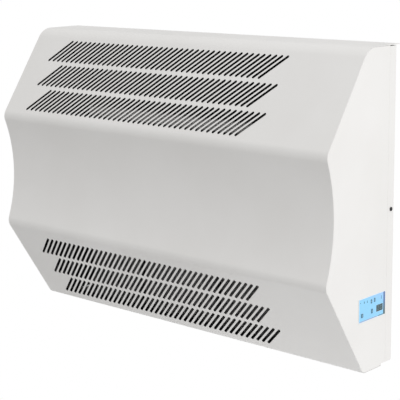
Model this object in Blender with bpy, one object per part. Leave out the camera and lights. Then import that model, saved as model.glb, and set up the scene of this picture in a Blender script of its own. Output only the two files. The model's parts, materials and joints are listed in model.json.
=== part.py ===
"""Wall-hung fan convector heater, built as separate named pieces.

Metres, +Z up. The front faces -Y, +X is to the right, and the wall is the plane Y = 0.
The world origin is the centre of the wall rail's back face. Every piece is drawn from
the casing's base, so it hangs under the empty "casing_base". A depth is a distance
from the wall, forwards: depth d is at Y = -d.
"""

import math

import bmesh
import bpy
from mathutils import Matrix, Vector

# Casing
WIDTH = 1.100
HEIGHT = 0.760
SHEET = 0.0012
GAP = 0.0003
LIP_DEPTH = 0.0005
TOP_CORNER = (0.130, HEIGHT)
UPPER_RIDGE = (0.283, 0.534)
LOWER_RIDGE = (0.283, 0.232)
BASE_CORNER = (0.136, 0.0)
TOP_BEND = 0.050
RIDGE_BEND = 0.030
BASE_BEND = 0.016
WAVE_DEPTH = 0.255
WAVE_HEIGHT = 0.385
WAVE_RADIUS = 0.390
RETURN_DEPTH = 0.062
NOTCH_HEIGHT = 0.0065
SIDE = WIDTH / 2

# Slots: two groups of three rows, one group on each slope
SLOTS_IN_ROW = 43
SLOT_ROWS = 3
SLOT_PITCH = 0.0177
SLOT_ROW_PITCH = 0.0755
SLOT_LENGTH = 0.0915
SLOT_WIDTH = 0.0070
SLOT_LEAN = math.radians(45)
SLOT_CENTRE_X = -0.064
SLOT_CENTRE_DOWN = 0.142

# Rear pan and the way it hangs on the wall
PAN_DEPTH = 0.018
SEAM_DEPTH = 0.045
PAN_BOTTOM = 0.006
PAN_TOP = 0.757
PAN_FACE = PAN_DEPTH + SHEET
TOP_FLANGE_DEPTH = 0.060
BASE_PLATE_DEPTH = 0.090
BASE_PLATE_LEG = 0.015
RAIL_CENTRE = 0.625
RAIL_HALF = 0.025
RAIL_LENGTH = 0.920
RAIL_SHEET = 0.002
SPACER_X = 0.460
SPACER_Z = 0.060
SPACER_RADIUS = 0.012
SCREW_DEPTH = 0.032
SCREW_Z = 0.377
SCREW_HOLE = 0.0024
TONGUES = ((0.030, 0.100), (0.210, 0.730))

# Fan section between the two bulkheads
BULKHEAD_SHEET = 0.0012
LEFT_BULKHEAD = -0.490
RIGHT_BULKHEAD = 0.360
FAN_CENTRE_X = (LEFT_BULKHEAD + RIGHT_BULKHEAD) / 2
DECK_Z = 0.415
SHAFT_DEPTH = 0.125
SHAFT_Z = 0.300
SHAFT_RADIUS = 0.005
SHAFT_SIDES = 16
SHAFT_LENGTH = 0.540
BLOWER_OFFSET = 0.185
BLOWER_WIDTH = 0.190
SCROLL_OUTER = 0.098
SCROLL_INNER = 0.072
SCROLL_TURN = math.radians(280)
SCROLL_SHEET = 0.001
INLET_RADIUS = 0.050
IMPELLER_RADIUS = 0.065
IMPELLER_INSIDE = 0.054
IMPELLER_LENGTH = 0.160
IMPELLER_BLADES = 16
MOTOR_RADIUS = 0.052
MOTOR_LENGTH = 0.130
BEARING_RADIUS = 0.013
BEARING_WIDTH = 0.008
RUNNING_CLEARANCE = 0.00007

# Heat exchanger
COIL_LEFT = -0.440
COIL_RIGHT = 0.310
COIL_BACK = 0.027
COIL_FRONT = 0.207
COIL_BOTTOM = 0.440
COIL_TOP = 0.510
END_PLATE = 0.0012
PASS_DEPTHS = 5
PASS_PITCH = 0.036
FIRST_PASS_DEPTH = 0.045
PASS_HEIGHTS = (0.4575, 0.4925)
TUBE_RADIUS = 0.00476
PIPE_RADIUS = 0.0075
RETURN_PIPE_X = -0.5045
FLOW_PIPE_X = -0.5305
UNION_BOTTOM = 0.010
UNION_TOP = 0.052
PIPE_END = 0.033

# Intake filter
FILTER_BACK = 0.0985
FILTER_FRONT = 0.1105
FILTER_TOP = 0.2045
FILTER_BORDER = 0.012
FILTER_RUN = 0.0006
FILTER_LIP = 0.0012
SLIDE_SLOT = (0.0965, 0.1125)
RUNNER_TOP = 0.212

# Controls on the right side
LABEL_DEPTHS = (0.049, 0.156)
LABEL_HEIGHTS = (0.126, 0.184)
LABEL_SHEET = 0.0006
WINDOW_CENTRE = (0.073, 0.1475)
WINDOW_SIZE = (0.026, 0.016)
KEYS = {
    "power_key": (0.1430, 0.1430, 0.0090, 0.0100),
    "set_key": (0.1035, 0.1455, 0.0075, 0.0110),
    "up_key": (0.1060, 0.1695, 0.0060, 0.0100),
    "down_key": (0.0930, 0.1705, 0.0060, 0.0100),
}
KEY_STEM = 0.0045
KEY_PROUD = 0.0012
KEY_FLANGE = 0.0015
BOARD_X = 0.5330
BOARD_SHEET = 0.0016
GLAND_X = 0.445
GLAND_DEPTH = 0.045
BLOCK_X = (0.400, 0.490)
BLOCK_Z = (0.060, 0.085)
CUTOUT_DEPTH = 0.120
CUTOUT_Z = 0.360
GROMMET_DEPTH = 0.050
GROMMET_Z = 0.165


# Scene, materials and objects


def clear_scene():
    for obj in list(bpy.data.objects):
        bpy.data.objects.remove(obj, do_unlink=True)


def finish(name, colour, roughness, metallic=0.0):
    found = bpy.data.materials.get(name)
    if found:
        return found
    made = bpy.data.materials.new(name)
    made.use_nodes = True
    shader = made.node_tree.nodes["Principled BSDF"]
    shader.inputs["Base Color"].default_value = (*colour, 1.0)
    shader.inputs["Roughness"].default_value = roughness
    shader.inputs["Metallic"].default_value = metallic
    made.diffuse_color = (*colour, 1.0)
    return made


def white_paint():
    return finish("white_powder_coat", (0.86, 0.85, 0.82), 0.45)


def galvanised():
    return finish("galvanised_steel", (0.55, 0.56, 0.57), 0.40, 1.0)


def black_sheet():
    return finish("black_sheet", (0.03, 0.03, 0.032), 0.55)


def copper():
    return finish("copper", (0.72, 0.38, 0.24), 0.30, 1.0)


def brass():
    return finish("brass", (0.75, 0.60, 0.30), 0.30, 1.0)


def black_plastic():
    return finish("black_plastic", (0.02, 0.02, 0.022), 0.50)


def key_plastic():
    return finish("key_plastic", (0.02, 0.10, 0.22), 0.45)


def bright_steel():
    return finish("bright_steel", (0.60, 0.60, 0.62), 0.25, 1.0)


def place(obj, material, origin=(0, 0, 0)):
    bpy.context.scene.collection.objects.link(obj)
    obj.data.materials.append(material)
    obj.parent = bpy.data.objects["casing_base"]
    obj.location = origin
    return obj


def piece(name, bm, material, round_piece=False, origin=(0, 0, 0)):
    """An object made of this mesh, with its own origin there."""
    bmesh.ops.translate(bm, verts=bm.verts, vec=-Vector(origin))
    bmesh.ops.recalc_face_normals(bm, faces=bm.faces)
    mesh = bpy.data.meshes.new(name)
    bm.to_mesh(mesh)
    bm.free()
    if round_piece:
        mesh.shade_smooth()
        mesh.set_sharp_from_angle(angle=math.radians(35))
    return place(bpy.data.objects.new(name, mesh), material, origin)


def combine(obj, bm, operation):
    """Cuts this shape from the object, or joins it on, with a Boolean modifier."""
    helper = piece(f"{obj.name}_helper_{len(obj.modifiers)}", bm, obj.data.materials[0])
    helper.hide_render = True
    helper.display_type = "WIRE"
    modifier = obj.modifiers.new(f"{operation.lower()}_{len(obj.modifiers)}", "BOOLEAN")
    modifier.operation = operation
    modifier.solver = "EXACT"
    modifier.object = helper
    return obj


def cut(obj, bm):
    return combine(obj, bm, "DIFFERENCE")


def join(obj, bm):
    return combine(obj, bm, "UNION")


# Shapes


def at(x, depth, z):
    return Vector((x, -depth, z))


def prism(points, sweep):
    """A closed solid: this outline, extruded by this vector."""
    bm = bmesh.new()
    face = bm.faces.new([bm.verts.new(p) for p in points])
    swept = bmesh.ops.extrude_face_region(bm, geom=[face])["geom"]
    moved = [g for g in swept if isinstance(g, bmesh.types.BMVert)]
    bmesh.ops.translate(bm, verts=moved, vec=sweep)
    return bm


def along_x(outline, low, high):
    """A prism along X of an outline given as (depth, z)."""
    return prism([at(low, d, z) for d, z in outline], Vector((high - low, 0, 0)))


def along_z(outline, low, high):
    """A prism along Z of an outline given as (x, depth)."""
    return prism([at(x, d, low) for x, d in outline], Vector((0, 0, high - low)))


def block(xs, depths, heights):
    corners = [(xs[0], depths[0]), (xs[1], depths[0]), (xs[1], depths[1]), (xs[0], depths[1])]
    return along_z(corners, *heights)


def add_shape(bm, extra):
    """Adds one more closed shape to a mesh of separate shapes."""
    mesh = bpy.data.meshes.new("extra")
    extra.to_mesh(mesh)
    extra.free()
    bm.from_mesh(mesh)
    bpy.data.meshes.remove(mesh)


def add_block(bm, xs, depths, heights):
    add_shape(bm, block(xs, depths, heights))


def turned(profile, centre, axis, sides, closed):
    """Spins a profile of (radius, distance along the axis) right round.

    A closed profile makes a ring. An open one starts and ends on the axis.
    """
    bm = bmesh.new()
    verts = [bm.verts.new((r, 0, a)) for r, a in profile]
    edges = [bm.edges.new(pair) for pair in zip(verts, verts[1:])]
    if closed:
        edges.append(bm.edges.new((verts[-1], verts[0])))
    bmesh.ops.spin(
        bm, geom=verts + edges, cent=(0, 0, 0), axis=(0, 0, 1),
        angle=2 * math.pi, steps=sides, use_merge=True, use_duplicate=False,
    )
    bmesh.ops.remove_doubles(bm, verts=bm.verts, dist=1e-6)
    turn = Vector((0, 0, 1)).rotation_difference(Vector(axis)).to_matrix().to_4x4()
    bmesh.ops.transform(bm, matrix=Matrix.Translation(centre) @ turn, verts=bm.verts)
    return bm


def rod(radius, centre, axis, length, sides):
    """A plain cylinder that starts at the centre and runs along the axis."""
    return turned([(0, 0), (radius, 0), (radius, length), (0, length)], centre, axis, sides, False)


def tube(inner, outer, centre, axis, length, sides):
    profile = [(inner, 0), (outer, 0), (outer, length), (inner, length)]
    return turned(profile, centre, axis, sides, True)


def flat_radius(clear, sides):
    """The corner radius of a faceted bore whose flats are this far from the axis."""
    return clear / math.cos(math.pi / sides)


def wire(name, points, radius, material):
    """A round lead or pipe along these points, with closed ends."""
    curve = bpy.data.curves.new(name, "CURVE")
    curve.dimensions = "3D"
    curve.bevel_depth = radius
    curve.bevel_resolution = 2
    curve.use_fill_caps = True
    spline = curve.splines.new("POLY")
    spline.points.add(len(points) - 1)
    for point, place_at in zip(spline.points, points):
        point.co = (*place_at, 1.0)
    return place(bpy.data.objects.new(name, curve), material)


def smooth_route(points, spacing):
    """Points at about this spacing on a smooth curve through the route's own points."""
    ends = [2 * points[0] - points[1], *points, 2 * points[-1] - points[-2]]
    route = []
    for a, b, c, d in zip(ends, ends[1:], ends[2:], ends[3:]):
        steps = max(1, round((c - b).length / spacing))
        for step in range(steps):
            t = step / steps
            route.append(
                b + 0.5 * t * (c - a)
                + t * t * (a - 2.5 * b + 2 * c - 0.5 * d)
                + 0.5 * t**3 * (3 * b - a - 3 * c + d)
            )
    return route + [points[-1]]


# Plane geometry of the casing's outline, as (depth, z)


def arc(centre, start, end, steps):
    """Points from start to end round a centre, by the shorter way."""
    centre = Vector(centre)
    first = Vector(start) - centre
    last = Vector(end) - centre
    turn = math.atan2(first.x * last.y - first.y * last.x, first.dot(last))
    points = []
    for step in range(steps + 1):
        a = turn * step / steps
        spun = Vector((
            first.x * math.cos(a) - first.y * math.sin(a),
            first.x * math.sin(a) + first.y * math.cos(a),
        ))
        points.append(tuple(centre + spun))
    return points


def bend(before, corner, after, radius, steps):
    """The arc that rounds one corner of an outline."""
    corner = Vector(corner)
    back = (Vector(before) - corner).normalized()
    ahead = (Vector(after) - corner).normalized()
    half = math.acos(max(-1.0, min(1.0, back.dot(ahead)))) / 2
    reach = radius / math.tan(half)
    centre = corner + (back + ahead).normalized() * radius / math.sin(half)
    return arc(centre, corner + back * reach, corner + ahead * reach, steps)


def ridge(far, near):
    """Ridge bend between the flat slope far-near and the hollow front.

    Returns its centre, where it meets the slope, and where it meets the hollow.
    """
    wave = Vector((WAVE_DEPTH + WAVE_RADIUS, WAVE_HEIGHT))
    run = (Vector(near) - Vector(far)).normalized()
    inward = Vector((-abs(run.y), math.copysign(run.x, run.y)))
    offset = Vector(far) + inward * RIDGE_BEND - wave
    along = offset.dot(run)
    reach = WAVE_RADIUS + RIDGE_BEND
    distance = -along - math.sqrt(along * along - offset.length_squared + reach * reach)
    centre = wave + offset + run * distance
    return centre, centre - inward * RIDGE_BEND, wave + (centre - wave) * WAVE_RADIUS / reach


def casing_outline():
    """The casing's outer line, from the lip at the wall, over the front, to the base's end."""
    wave = Vector((WAVE_DEPTH + WAVE_RADIUS, WAVE_HEIGHT))
    lip = (LIP_DEPTH, HEIGHT)
    end = (RETURN_DEPTH, 0.0)
    upper, upper_slope, upper_wave = ridge(TOP_CORNER, UPPER_RIDGE)
    lower, lower_slope, lower_wave = ridge(BASE_CORNER, LOWER_RIDGE)
    points = [lip]
    points += bend(lip, TOP_CORNER, UPPER_RIDGE, TOP_BEND, 8)
    points += arc(upper, upper_slope, upper_wave, 5)
    points += arc(wave, upper_wave, lower_wave, 8)[1:-1]
    points += arc(lower, lower_wave, lower_slope, 5)
    points += bend(LOWER_RIDGE, BASE_CORNER, end, BASE_BEND, 4)
    return points + [end]


def inset(points, distance):
    """An open outline moved inwards, to its right-hand side, by a distance."""
    vectors = [Vector(p) for p in points]
    normals = []
    for a, b in zip(vectors, vectors[1:]):
        run = (b - a).normalized()
        normals.append(Vector((run.y, -run.x)))
    moved = []
    for i, point in enumerate(vectors):
        before = normals[max(i - 1, 0)]
        after = normals[min(i, len(normals) - 1)]
        middle = (before + after).normalized()
        moved.append(tuple(point + middle * distance / middle.dot(after)))
    return moved


# Casing


def add_slots(bm, far, near):
    """One group of slots through the slope whose upper end is far and lower end is near."""
    down = (Vector(near) - Vector(far)).normalized()
    across = Vector((1, 0, 0))
    slope = at(0, *down)
    outward = across.cross(slope).normalized()
    lean = across * math.sin(SLOT_LEAN) - slope * math.cos(SLOT_LEAN)
    side = outward.cross(lean)
    middle = at(SLOT_CENTRE_X, *(Vector(far) + down * SLOT_CENTRE_DOWN))
    reach = 4 * SHEET
    for row in range(SLOT_ROWS):
        for column in range(SLOTS_IN_ROW):
            centre = middle + slope * SLOT_ROW_PITCH * (row - (SLOT_ROWS - 1) / 2)
            centre = centre + across * SLOT_PITCH * (column - (SLOTS_IN_ROW - 1) / 2)
            box = bmesh.ops.create_cube(bm, size=1.0)["verts"]
            axes = Matrix((lean * SLOT_LENGTH, side * SLOT_WIDTH, outward * 2 * reach))
            turn = Matrix.Translation(centre) @ axes.transposed().to_4x4()
            bmesh.ops.transform(bm, matrix=turn, verts=box)


def front_wrap():
    outer = casing_outline()
    inner = inset(outer, SHEET)
    wrap = piece("front_wrap", along_x(outer + inner[::-1], -SIDE, SIDE), white_paint(), True)
    slots = bmesh.new()
    add_slots(slots, TOP_CORNER, UPPER_RIDGE)
    add_slots(slots, LOWER_RIDGE, BASE_CORNER)
    cut(wrap, slots)
    low, high = filter_ends()
    ends = (low - FILTER_RUN, high + FILTER_RUN)
    cut(wrap, block(ends, SLIDE_SLOT, (-SHEET, 2 * SHEET)))


def side_outline():
    """The side panel's own edge: inside the wrap, notched at its lower back corner."""
    inner = inset(casing_outline(), SHEET + GAP)
    seam = SEAM_DEPTH + GAP
    front = inner[1:-1]
    return [
        (seam, HEIGHT - SHEET - GAP), *front,
        (RETURN_DEPTH, SHEET + GAP), (RETURN_DEPTH, NOTCH_HEIGHT), (seam, NOTCH_HEIGHT),
    ]


def tongue(side, heights):
    """The joggled flange that reaches behind the rear pan's side flange."""
    skin = SIDE - SHEET
    back = skin - GAP
    seam = SEAM_DEPTH + 2 * GAP
    outline = [
        (back, PAN_FACE + 0.004), (back, seam), (skin + GAP, seam),
        (skin + GAP, seam + 0.012), (back - SHEET, seam + 0.012), (back - SHEET, PAN_FACE + 0.004),
    ]
    return along_z([(side * x, d) for x, d in outline], *heights)


def side_panel(name, side):
    faces = sorted((side * SIDE, side * (SIDE - SHEET)))
    panel = piece(name, along_x(side_outline(), *faces), white_paint())
    for heights in TONGUES:
        join(panel, tongue(side, heights))
    inside = Vector((-side, 0, 0))
    start = at(side * (SIDE + SHEET), SCREW_DEPTH, SCREW_Z)
    cut(panel, rod(SCREW_HOLE, start, inside, 6 * SHEET, 8))
    return panel


def right_side_panel():
    panel = side_panel("right_side_panel", 1)
    reach = (SIDE - 2 * SHEET, SIDE + SHEET)
    holes = bmesh.new()
    for depth, z, wide, tall in [(*WINDOW_CENTRE, *WINDOW_SIZE), *KEYS.values()]:
        add_block(holes, reach, (depth - wide / 2, depth + wide / 2), (z - tall / 2, z + tall / 2))
    cut(panel, holes)


def rear_pan():
    front = SEAM_DEPTH
    skin = SIDE - SHEET
    tray = [
        (-SIDE, front), (-SIDE, PAN_DEPTH), (SIDE, PAN_DEPTH), (SIDE, front),
        (skin, front), (skin, PAN_FACE), (-skin, PAN_FACE), (-skin, front),
    ]
    pan = piece("rear_pan", along_z(tray, PAN_BOTTOM, PAN_TOP), white_paint())
    inside = (-skin + 2 * GAP, skin - 2 * GAP)
    flange = (PAN_DEPTH + GAP, TOP_FLANGE_DEPTH)
    join(pan, block(inside, flange, (PAN_TOP - SHEET - GAP, PAN_TOP - GAP)))
    for side in (-1, 1):
        start = at(side * (SIDE + SHEET), SCREW_DEPTH, SCREW_Z)
        cut(pan, rod(SCREW_HOLE, start, (-side, 0, 0), 2.5 * SHEET, 8))


def base_plate():
    """Angle across the pan's foot, with the openings for the pipes and the supply cable."""
    low = PAN_BOTTOM + GAP
    back = PAN_FACE + GAP
    angle = [
        (back, low), (BASE_PLATE_DEPTH, low), (BASE_PLATE_DEPTH, low + SHEET),
        (back + SHEET, low + SHEET), (back + SHEET, low + BASE_PLATE_LEG), (back, low + BASE_PLATE_LEG),
    ]
    half = SIDE - SHEET - 2 * GAP
    plate = piece("base_plate", along_x(angle, -half, half), white_paint())
    pipes = (FLOW_PIPE_X - 0.0145, RETURN_PIPE_X + 0.0145)
    cut(plate, block(pipes, (0.026, 0.064), (0.0, 0.012)))
    cut(plate, rod(0.0083, at(GLAND_X, GLAND_DEPTH, 0.0), (0, 0, 1), 0.012, 12))


def casing_screw(name, side):
    """Pan-head screw with a cross recess, through the pan's flange and the panel's tongue."""
    profile = [
        (0, 0.0024), (0.0028, 0.0023), (0.0046, 0.0014), (0.0050, 0.0),
        (0.0020, 0.0), (0.0020, -0.009), (0, -0.0105),
    ]
    start = at(side * (SIDE + GAP), SCREW_DEPTH, SCREW_Z)
    screw = piece(name, turned(profile, start, (side, 0, 0), 12, False), black_sheet(), True)
    out = (side * (SIDE + 0.0014), side * (SIDE + 0.006))
    wide = 0.0006
    long = 0.0022
    cross = [
        (-long, -wide), (-wide, -wide), (-wide, -long), (wide, -long), (wide, -wide), (long, -wide),
        (long, wide), (wide, wide), (wide, long), (-wide, long), (-wide, wide), (-long, wide),
    ]
    outline = [(SCREW_DEPTH + a, SCREW_Z + b) for a, b in cross]
    cut(screw, along_x(outline, *sorted(out)))


def rail_slots(bm, z):
    """Four upright slots for wall screws."""
    wide = 0.0035
    tall = 0.0090
    for share in (-0.45, -0.18, 0.18, 0.45):
        x = RAIL_LENGTH * share
        add_block(bm, (x - wide, x + wide), (-RAIL_SHEET, 2 * RAIL_SHEET), (z - tall, z + tall))


def wall_rail():
    """Z-section rail on the wall, whose front leg stands up to take the unit's hook."""
    low = RAIL_CENTRE - RAIL_HALF
    high = RAIL_CENTRE + RAIL_HALF
    leg = 0.007
    outline = [
        (0, low), (RAIL_SHEET, low), (RAIL_SHEET, high - RAIL_SHEET),
        (leg + RAIL_SHEET, high - RAIL_SHEET), (leg + RAIL_SHEET, high + 0.022),
        (leg, high + 0.022), (leg, high), (0, high),
    ]
    half = RAIL_LENGTH / 2
    rail = piece("wall_rail", along_x(outline, -half, half), galvanised())
    slots = bmesh.new()
    rail_slots(slots, RAIL_CENTRE - 0.004)
    cut(rail, slots)


def hanger_rail():
    """Z-section hook on the back of the pan, hanging over the wall rail's leg."""
    web = RAIL_CENTRE + RAIL_HALF + 0.022 + GAP
    front = PAN_DEPTH - GAP
    hook = 0.0035
    outline = [
        (hook, web - 0.018), (hook + RAIL_SHEET, web - 0.018), (hook + RAIL_SHEET, web),
        (front, web), (front, web + 0.040), (front - RAIL_SHEET, web + 0.040),
        (front - RAIL_SHEET, web + RAIL_SHEET), (hook, web + RAIL_SHEET),
    ]
    half = RAIL_LENGTH / 2 + 0.010
    piece("hanger_rail", along_x(outline, -half, half), galvanised())


def wall_spacer(name, x):
    length = PAN_DEPTH - GAP
    profile = [
        (0, 0), (SPACER_RADIUS * 0.8, 0), (SPACER_RADIUS, 0.002),
        (SPACER_RADIUS, length), (0, length),
    ]
    rubber = finish("rubber", (0.03, 0.03, 0.03), 0.85)
    piece(name, turned(profile, at(x, 0, SPACER_Z), (0, -1, 0), 16, False), rubber, True)


# Fan section


def bulkhead(name, left, right_holes):
    outline = [
        (0.022, 0.010), (0.112, 0.010), (0.118, 0.022), (0.262, 0.250),
        (0.246, 0.385), (0.262, 0.515), (0.122, 0.735), (0.022, 0.735),
    ]
    plate = piece(name, along_x(outline, left, left + BULKHEAD_SHEET), black_sheet())
    reach = 0.010
    for radius, depth, z in right_holes:
        start = at(left - reach, depth, z)
        cut(plate, rod(radius, start, (1, 0, 0), 2 * reach + BULKHEAD_SHEET, 12))


def blower_centres():
    return {
        "left": FAN_CENTRE_X - BLOWER_OFFSET,
        "right": FAN_CENTRE_X + BLOWER_OFFSET,
    }


def scroll_outline(wall, top):
    """The scroll's line at this distance inside its outer skin, open side up."""
    steps = 20
    points = []
    for step in range(steps + 1):
        share = step / steps
        radius = SCROLL_OUTER + (SCROLL_INNER - SCROLL_OUTER) * share - wall
        angle = -SCROLL_TURN * share
        points.append((
            SHAFT_DEPTH + radius * math.cos(angle),
            SHAFT_Z + radius * math.sin(angle),
        ))
    tongue_depth = points[-1][0] + (wall if wall else 0)
    points[-1] = (tongue_depth, points[-1][1])
    return points + [(tongue_depth, top), (points[0][0], top)]


def outlet_depths():
    outline = scroll_outline(0, DECK_Z)
    return outline[-2][0], outline[-1][0]


def blower_housing(name, centre):
    half = BLOWER_WIDTH / 2
    top = DECK_Z - GAP
    shell = along_x(scroll_outline(0, top), centre - half, centre + half)
    housing = piece(name, shell, black_sheet(), True)
    hollow = half - SCROLL_SHEET
    inside = scroll_outline(SCROLL_SHEET, top + 0.010)
    cut(housing, along_x(inside, centre - hollow, centre + hollow))
    start = at(centre - BLOWER_WIDTH, SHAFT_DEPTH, SHAFT_Z)
    cut(housing, rod(INLET_RADIUS, start, (1, 0, 0), 2 * BLOWER_WIDTH, 20))


def impeller(name, centre):
    """Double-inlet cage of forward-leaning blades, on a disc and hub at its middle."""
    half = IMPELLER_LENGTH / 2
    disc = 0.0015
    hub = 0.015
    bore = flat_radius(SHAFT_RADIUS + GAP, SHAFT_SIDES)
    profile = [
        (bore, -hub), (0.012, -hub), (0.012, -disc), (IMPELLER_INSIDE, -disc),
        (IMPELLER_INSIDE, -half), (IMPELLER_RADIUS, -half), (IMPELLER_RADIUS, half),
        (IMPELLER_INSIDE, half), (IMPELLER_INSIDE, disc), (0.012, disc), (0.012, hub), (bore, hub),
    ]
    middle = at(centre, SHAFT_DEPTH, SHAFT_Z)
    cage = turned(profile, middle, (1, 0, 0), SHAFT_SIDES, True)
    grey = finish("impeller_plastic", (0.10, 0.10, 0.11), 0.55)
    wheel = piece(name, cage, grey, True, middle)
    slots = bmesh.new()
    ring = 0.006
    length = half - ring - 0.004
    thick = IMPELLER_RADIUS - IMPELLER_INSIDE
    size = Matrix.Diagonal((length, 0.012, 3 * thick, 1))
    radius = (IMPELLER_RADIUS + IMPELLER_INSIDE) / 2
    lean = Matrix.Rotation(math.radians(30), 4, "X")
    for half_side in (-1, 1):
        along = half_side * (length / 2 + 0.004)
        for blade in range(IMPELLER_BLADES):
            turn = Matrix.Rotation(2 * math.pi * (blade + 0.5) / IMPELLER_BLADES, 4, "X")
            where = Matrix.Translation(middle) @ turn @ Matrix.Translation((along, 0, radius))
            box = bmesh.ops.create_cube(slots, size=1.0)["verts"]
            bmesh.ops.transform(slots, matrix=where @ lean @ size, verts=box)
    cut(wheel, slots)


def fan_shaft():
    half = SHAFT_LENGTH / 2
    chamfer = 0.0008
    profile = [
        (0, -half), (SHAFT_RADIUS - chamfer, -half), (SHAFT_RADIUS, chamfer - half),
        (SHAFT_RADIUS, half - chamfer), (SHAFT_RADIUS - chamfer, half), (0, half),
    ]
    middle = at(FAN_CENTRE_X, SHAFT_DEPTH, SHAFT_Z)
    shaft = turned(profile, middle, (1, 0, 0), SHAFT_SIDES, False)
    piece("fan_shaft", shaft, bright_steel(), True, middle)


def motor_housing():
    half = MOTOR_LENGTH / 2
    seat = BEARING_WIDTH + GAP
    bore = flat_radius(0.0062, 24)
    pocket = flat_radius(BEARING_RADIUS + GAP, 24)
    side = [
        (bore, half - seat), (pocket, half - seat), (pocket, half),
        (0.030, half), (0.044, half - 0.006), (MOTOR_RADIUS, half - 0.016),
    ]
    profile = [(r, -a) for r, a in side] + side[::-1]
    middle = at(FAN_CENTRE_X, SHAFT_DEPTH, SHAFT_Z)
    grey = finish("motor_paint", (0.06, 0.065, 0.07), 0.50)
    piece("motor_housing", turned(profile, middle, (1, 0, 0), 24, True), grey, True)


def motor_bearing(name, side):
    bore = flat_radius(SHAFT_RADIUS + RUNNING_CLEARANCE, SHAFT_SIDES)
    start = at(FAN_CENTRE_X + side * MOTOR_LENGTH / 2, SHAFT_DEPTH, SHAFT_Z)
    ring = tube(bore, BEARING_RADIUS, start, (-side, 0, 0), BEARING_WIDTH, SHAFT_SIDES)
    piece(name, ring, bright_steel(), True)


def motor_cradle():
    """Band clamp round the motor, hung from the deck by two webs."""
    width = 0.040
    start = at(FAN_CENTRE_X - width / 2, SHAFT_DEPTH, SHAFT_Z)
    inner = flat_radius(MOTOR_RADIUS + 2 * GAP, 24)
    band = tube(inner, inner + 0.003, start, (1, 0, 0), width, 24)
    cradle = piece("motor_cradle", band, galvanised(), True)
    web = 0.003
    reach = 0.034
    webs = bmesh.new()
    for side in (-1, 1):
        x = FAN_CENTRE_X + side * (width / 2 - web)
        low = SHAFT_Z + 0.0425
        sides = sorted((x - web / 2, x + web / 2))
        add_block(webs, sides, (SHAFT_DEPTH - reach, SHAFT_DEPTH + reach), (low, DECK_Z - 0.0025))
    join(cradle, webs)
    top = (DECK_Z - 0.0028, DECK_Z - GAP)
    foot = (FAN_CENTRE_X - 0.030, FAN_CENTRE_X + 0.030)
    join(cradle, block(foot, (SHAFT_DEPTH - 0.05, SHAFT_DEPTH + 0.05), top))
    start = at(FAN_CENTRE_X - width, SHAFT_DEPTH, SHAFT_Z)
    cut(cradle, rod(inner + 0.0005, start, (1, 0, 0), 2 * width, 24))


def fan_deck():
    ends = (LEFT_BULKHEAD + BULKHEAD_SHEET + GAP, RIGHT_BULKHEAD - GAP)
    deck = piece("fan_deck", block(ends, (0.0205, 0.246), (DECK_Z, DECK_Z + SHEET)), black_sheet())
    mouths = bmesh.new()
    inside = BLOWER_WIDTH / 2 - SCROLL_SHEET
    heights = (DECK_Z - 0.01, DECK_Z + 0.01)
    for centre in blower_centres().values():
        add_block(mouths, (centre - inside, centre + inside), outlet_depths(), heights)
    cut(deck, mouths)


def coil_baffle():
    """Sheet that closes the space between the coil and the casing's front."""
    low = DECK_Z + SHEET + GAP
    back = COIL_FRONT + 0.004
    outline = [
        (back, low), (back + SHEET, low), (back + SHEET, COIL_TOP + 0.012),
        (0.264, COIL_TOP + 0.022), (0.264, COIL_TOP + 0.022 + SHEET), (back, COIL_TOP + 0.012 + SHEET),
    ]
    ends = (LEFT_BULKHEAD + BULKHEAD_SHEET + GAP, RIGHT_BULKHEAD - GAP)
    piece("coil_baffle", along_x(outline, *ends), black_sheet())


def upper_lining():
    foam = finish("black_foam", (0.015, 0.015, 0.016), 0.95)
    ends = (LEFT_BULKHEAD + 0.005, RIGHT_BULKHEAD - 0.005)
    piece("upper_lining", block(ends, (PAN_FACE + GAP, 0.0315), (0.540, 0.745)), foam)


# Heat exchanger


def passes():
    """Depth and height of each tube pass, in the order that the water takes."""
    depths = [FIRST_PASS_DEPTH + PASS_PITCH * i for i in range(PASS_DEPTHS)]
    low, high = PASS_HEIGHTS
    return [(d, low) for d in depths] + [(d, high) for d in reversed(depths)]


def bore_for_tubes(obj, low, high):
    drill = bmesh.new()
    length = high - low + 0.010
    for depth, z in passes():
        start = at(low - 0.005, depth, z)
        add_shape(drill, rod(TUBE_RADIUS + 2 * GAP, start, (1, 0, 0), length, 8))
    cut(obj, drill)


def coil_fin_block():
    fins = finish("aluminium_fins", (0.80, 0.81, 0.82), 0.35, 1.0)
    size = block((COIL_LEFT, COIL_RIGHT), (COIL_BACK, COIL_FRONT), (COIL_BOTTOM, COIL_TOP))
    bore_for_tubes(piece("coil_fin_block", size, fins), COIL_LEFT, COIL_RIGHT)


def coil_end_plate(name, left):
    ends = (left, left + END_PLATE)
    low = DECK_Z + SHEET + GAP
    plate = piece(name, block(ends, (COIL_BACK, COIL_FRONT), (low, COIL_TOP + 0.006)), galvanised())
    bore_for_tubes(plate, *ends)


def turn_back(first, second, end, side):
    """The half-circle bend that joins two passes beyond one end of the coil."""
    start = at(end, *first)
    finish_at = at(end, *second)
    middle = (start + finish_at) / 2
    radius = (finish_at - start).length / 2
    steps = 6
    points = []
    for step in range(steps + 1):
        a = math.pi * step / steps
        out = Vector((side * radius * math.sin(a), 0, 0))
        points.append(middle + (start - middle) * math.cos(a) + out)
    return points


def coil_tube():
    """One long tube that passes through the fins and turns back at each end."""
    right = COIL_RIGHT + 0.006
    left = COIL_LEFT - 0.006
    route = passes()
    points = [at(RETURN_PIPE_X + PIPE_RADIUS + GAP, *route[0])]
    for index, (here, ahead) in enumerate(zip(route, route[1:])):
        side = 1 if index % 2 == 0 else -1
        points += turn_back(here, ahead, right if side > 0 else left, side)
    points.append(at(FLOW_PIPE_X + PIPE_RADIUS + GAP, *route[-1]))
    wire("coil_tube", points, TUBE_RADIUS, copper())


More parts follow.
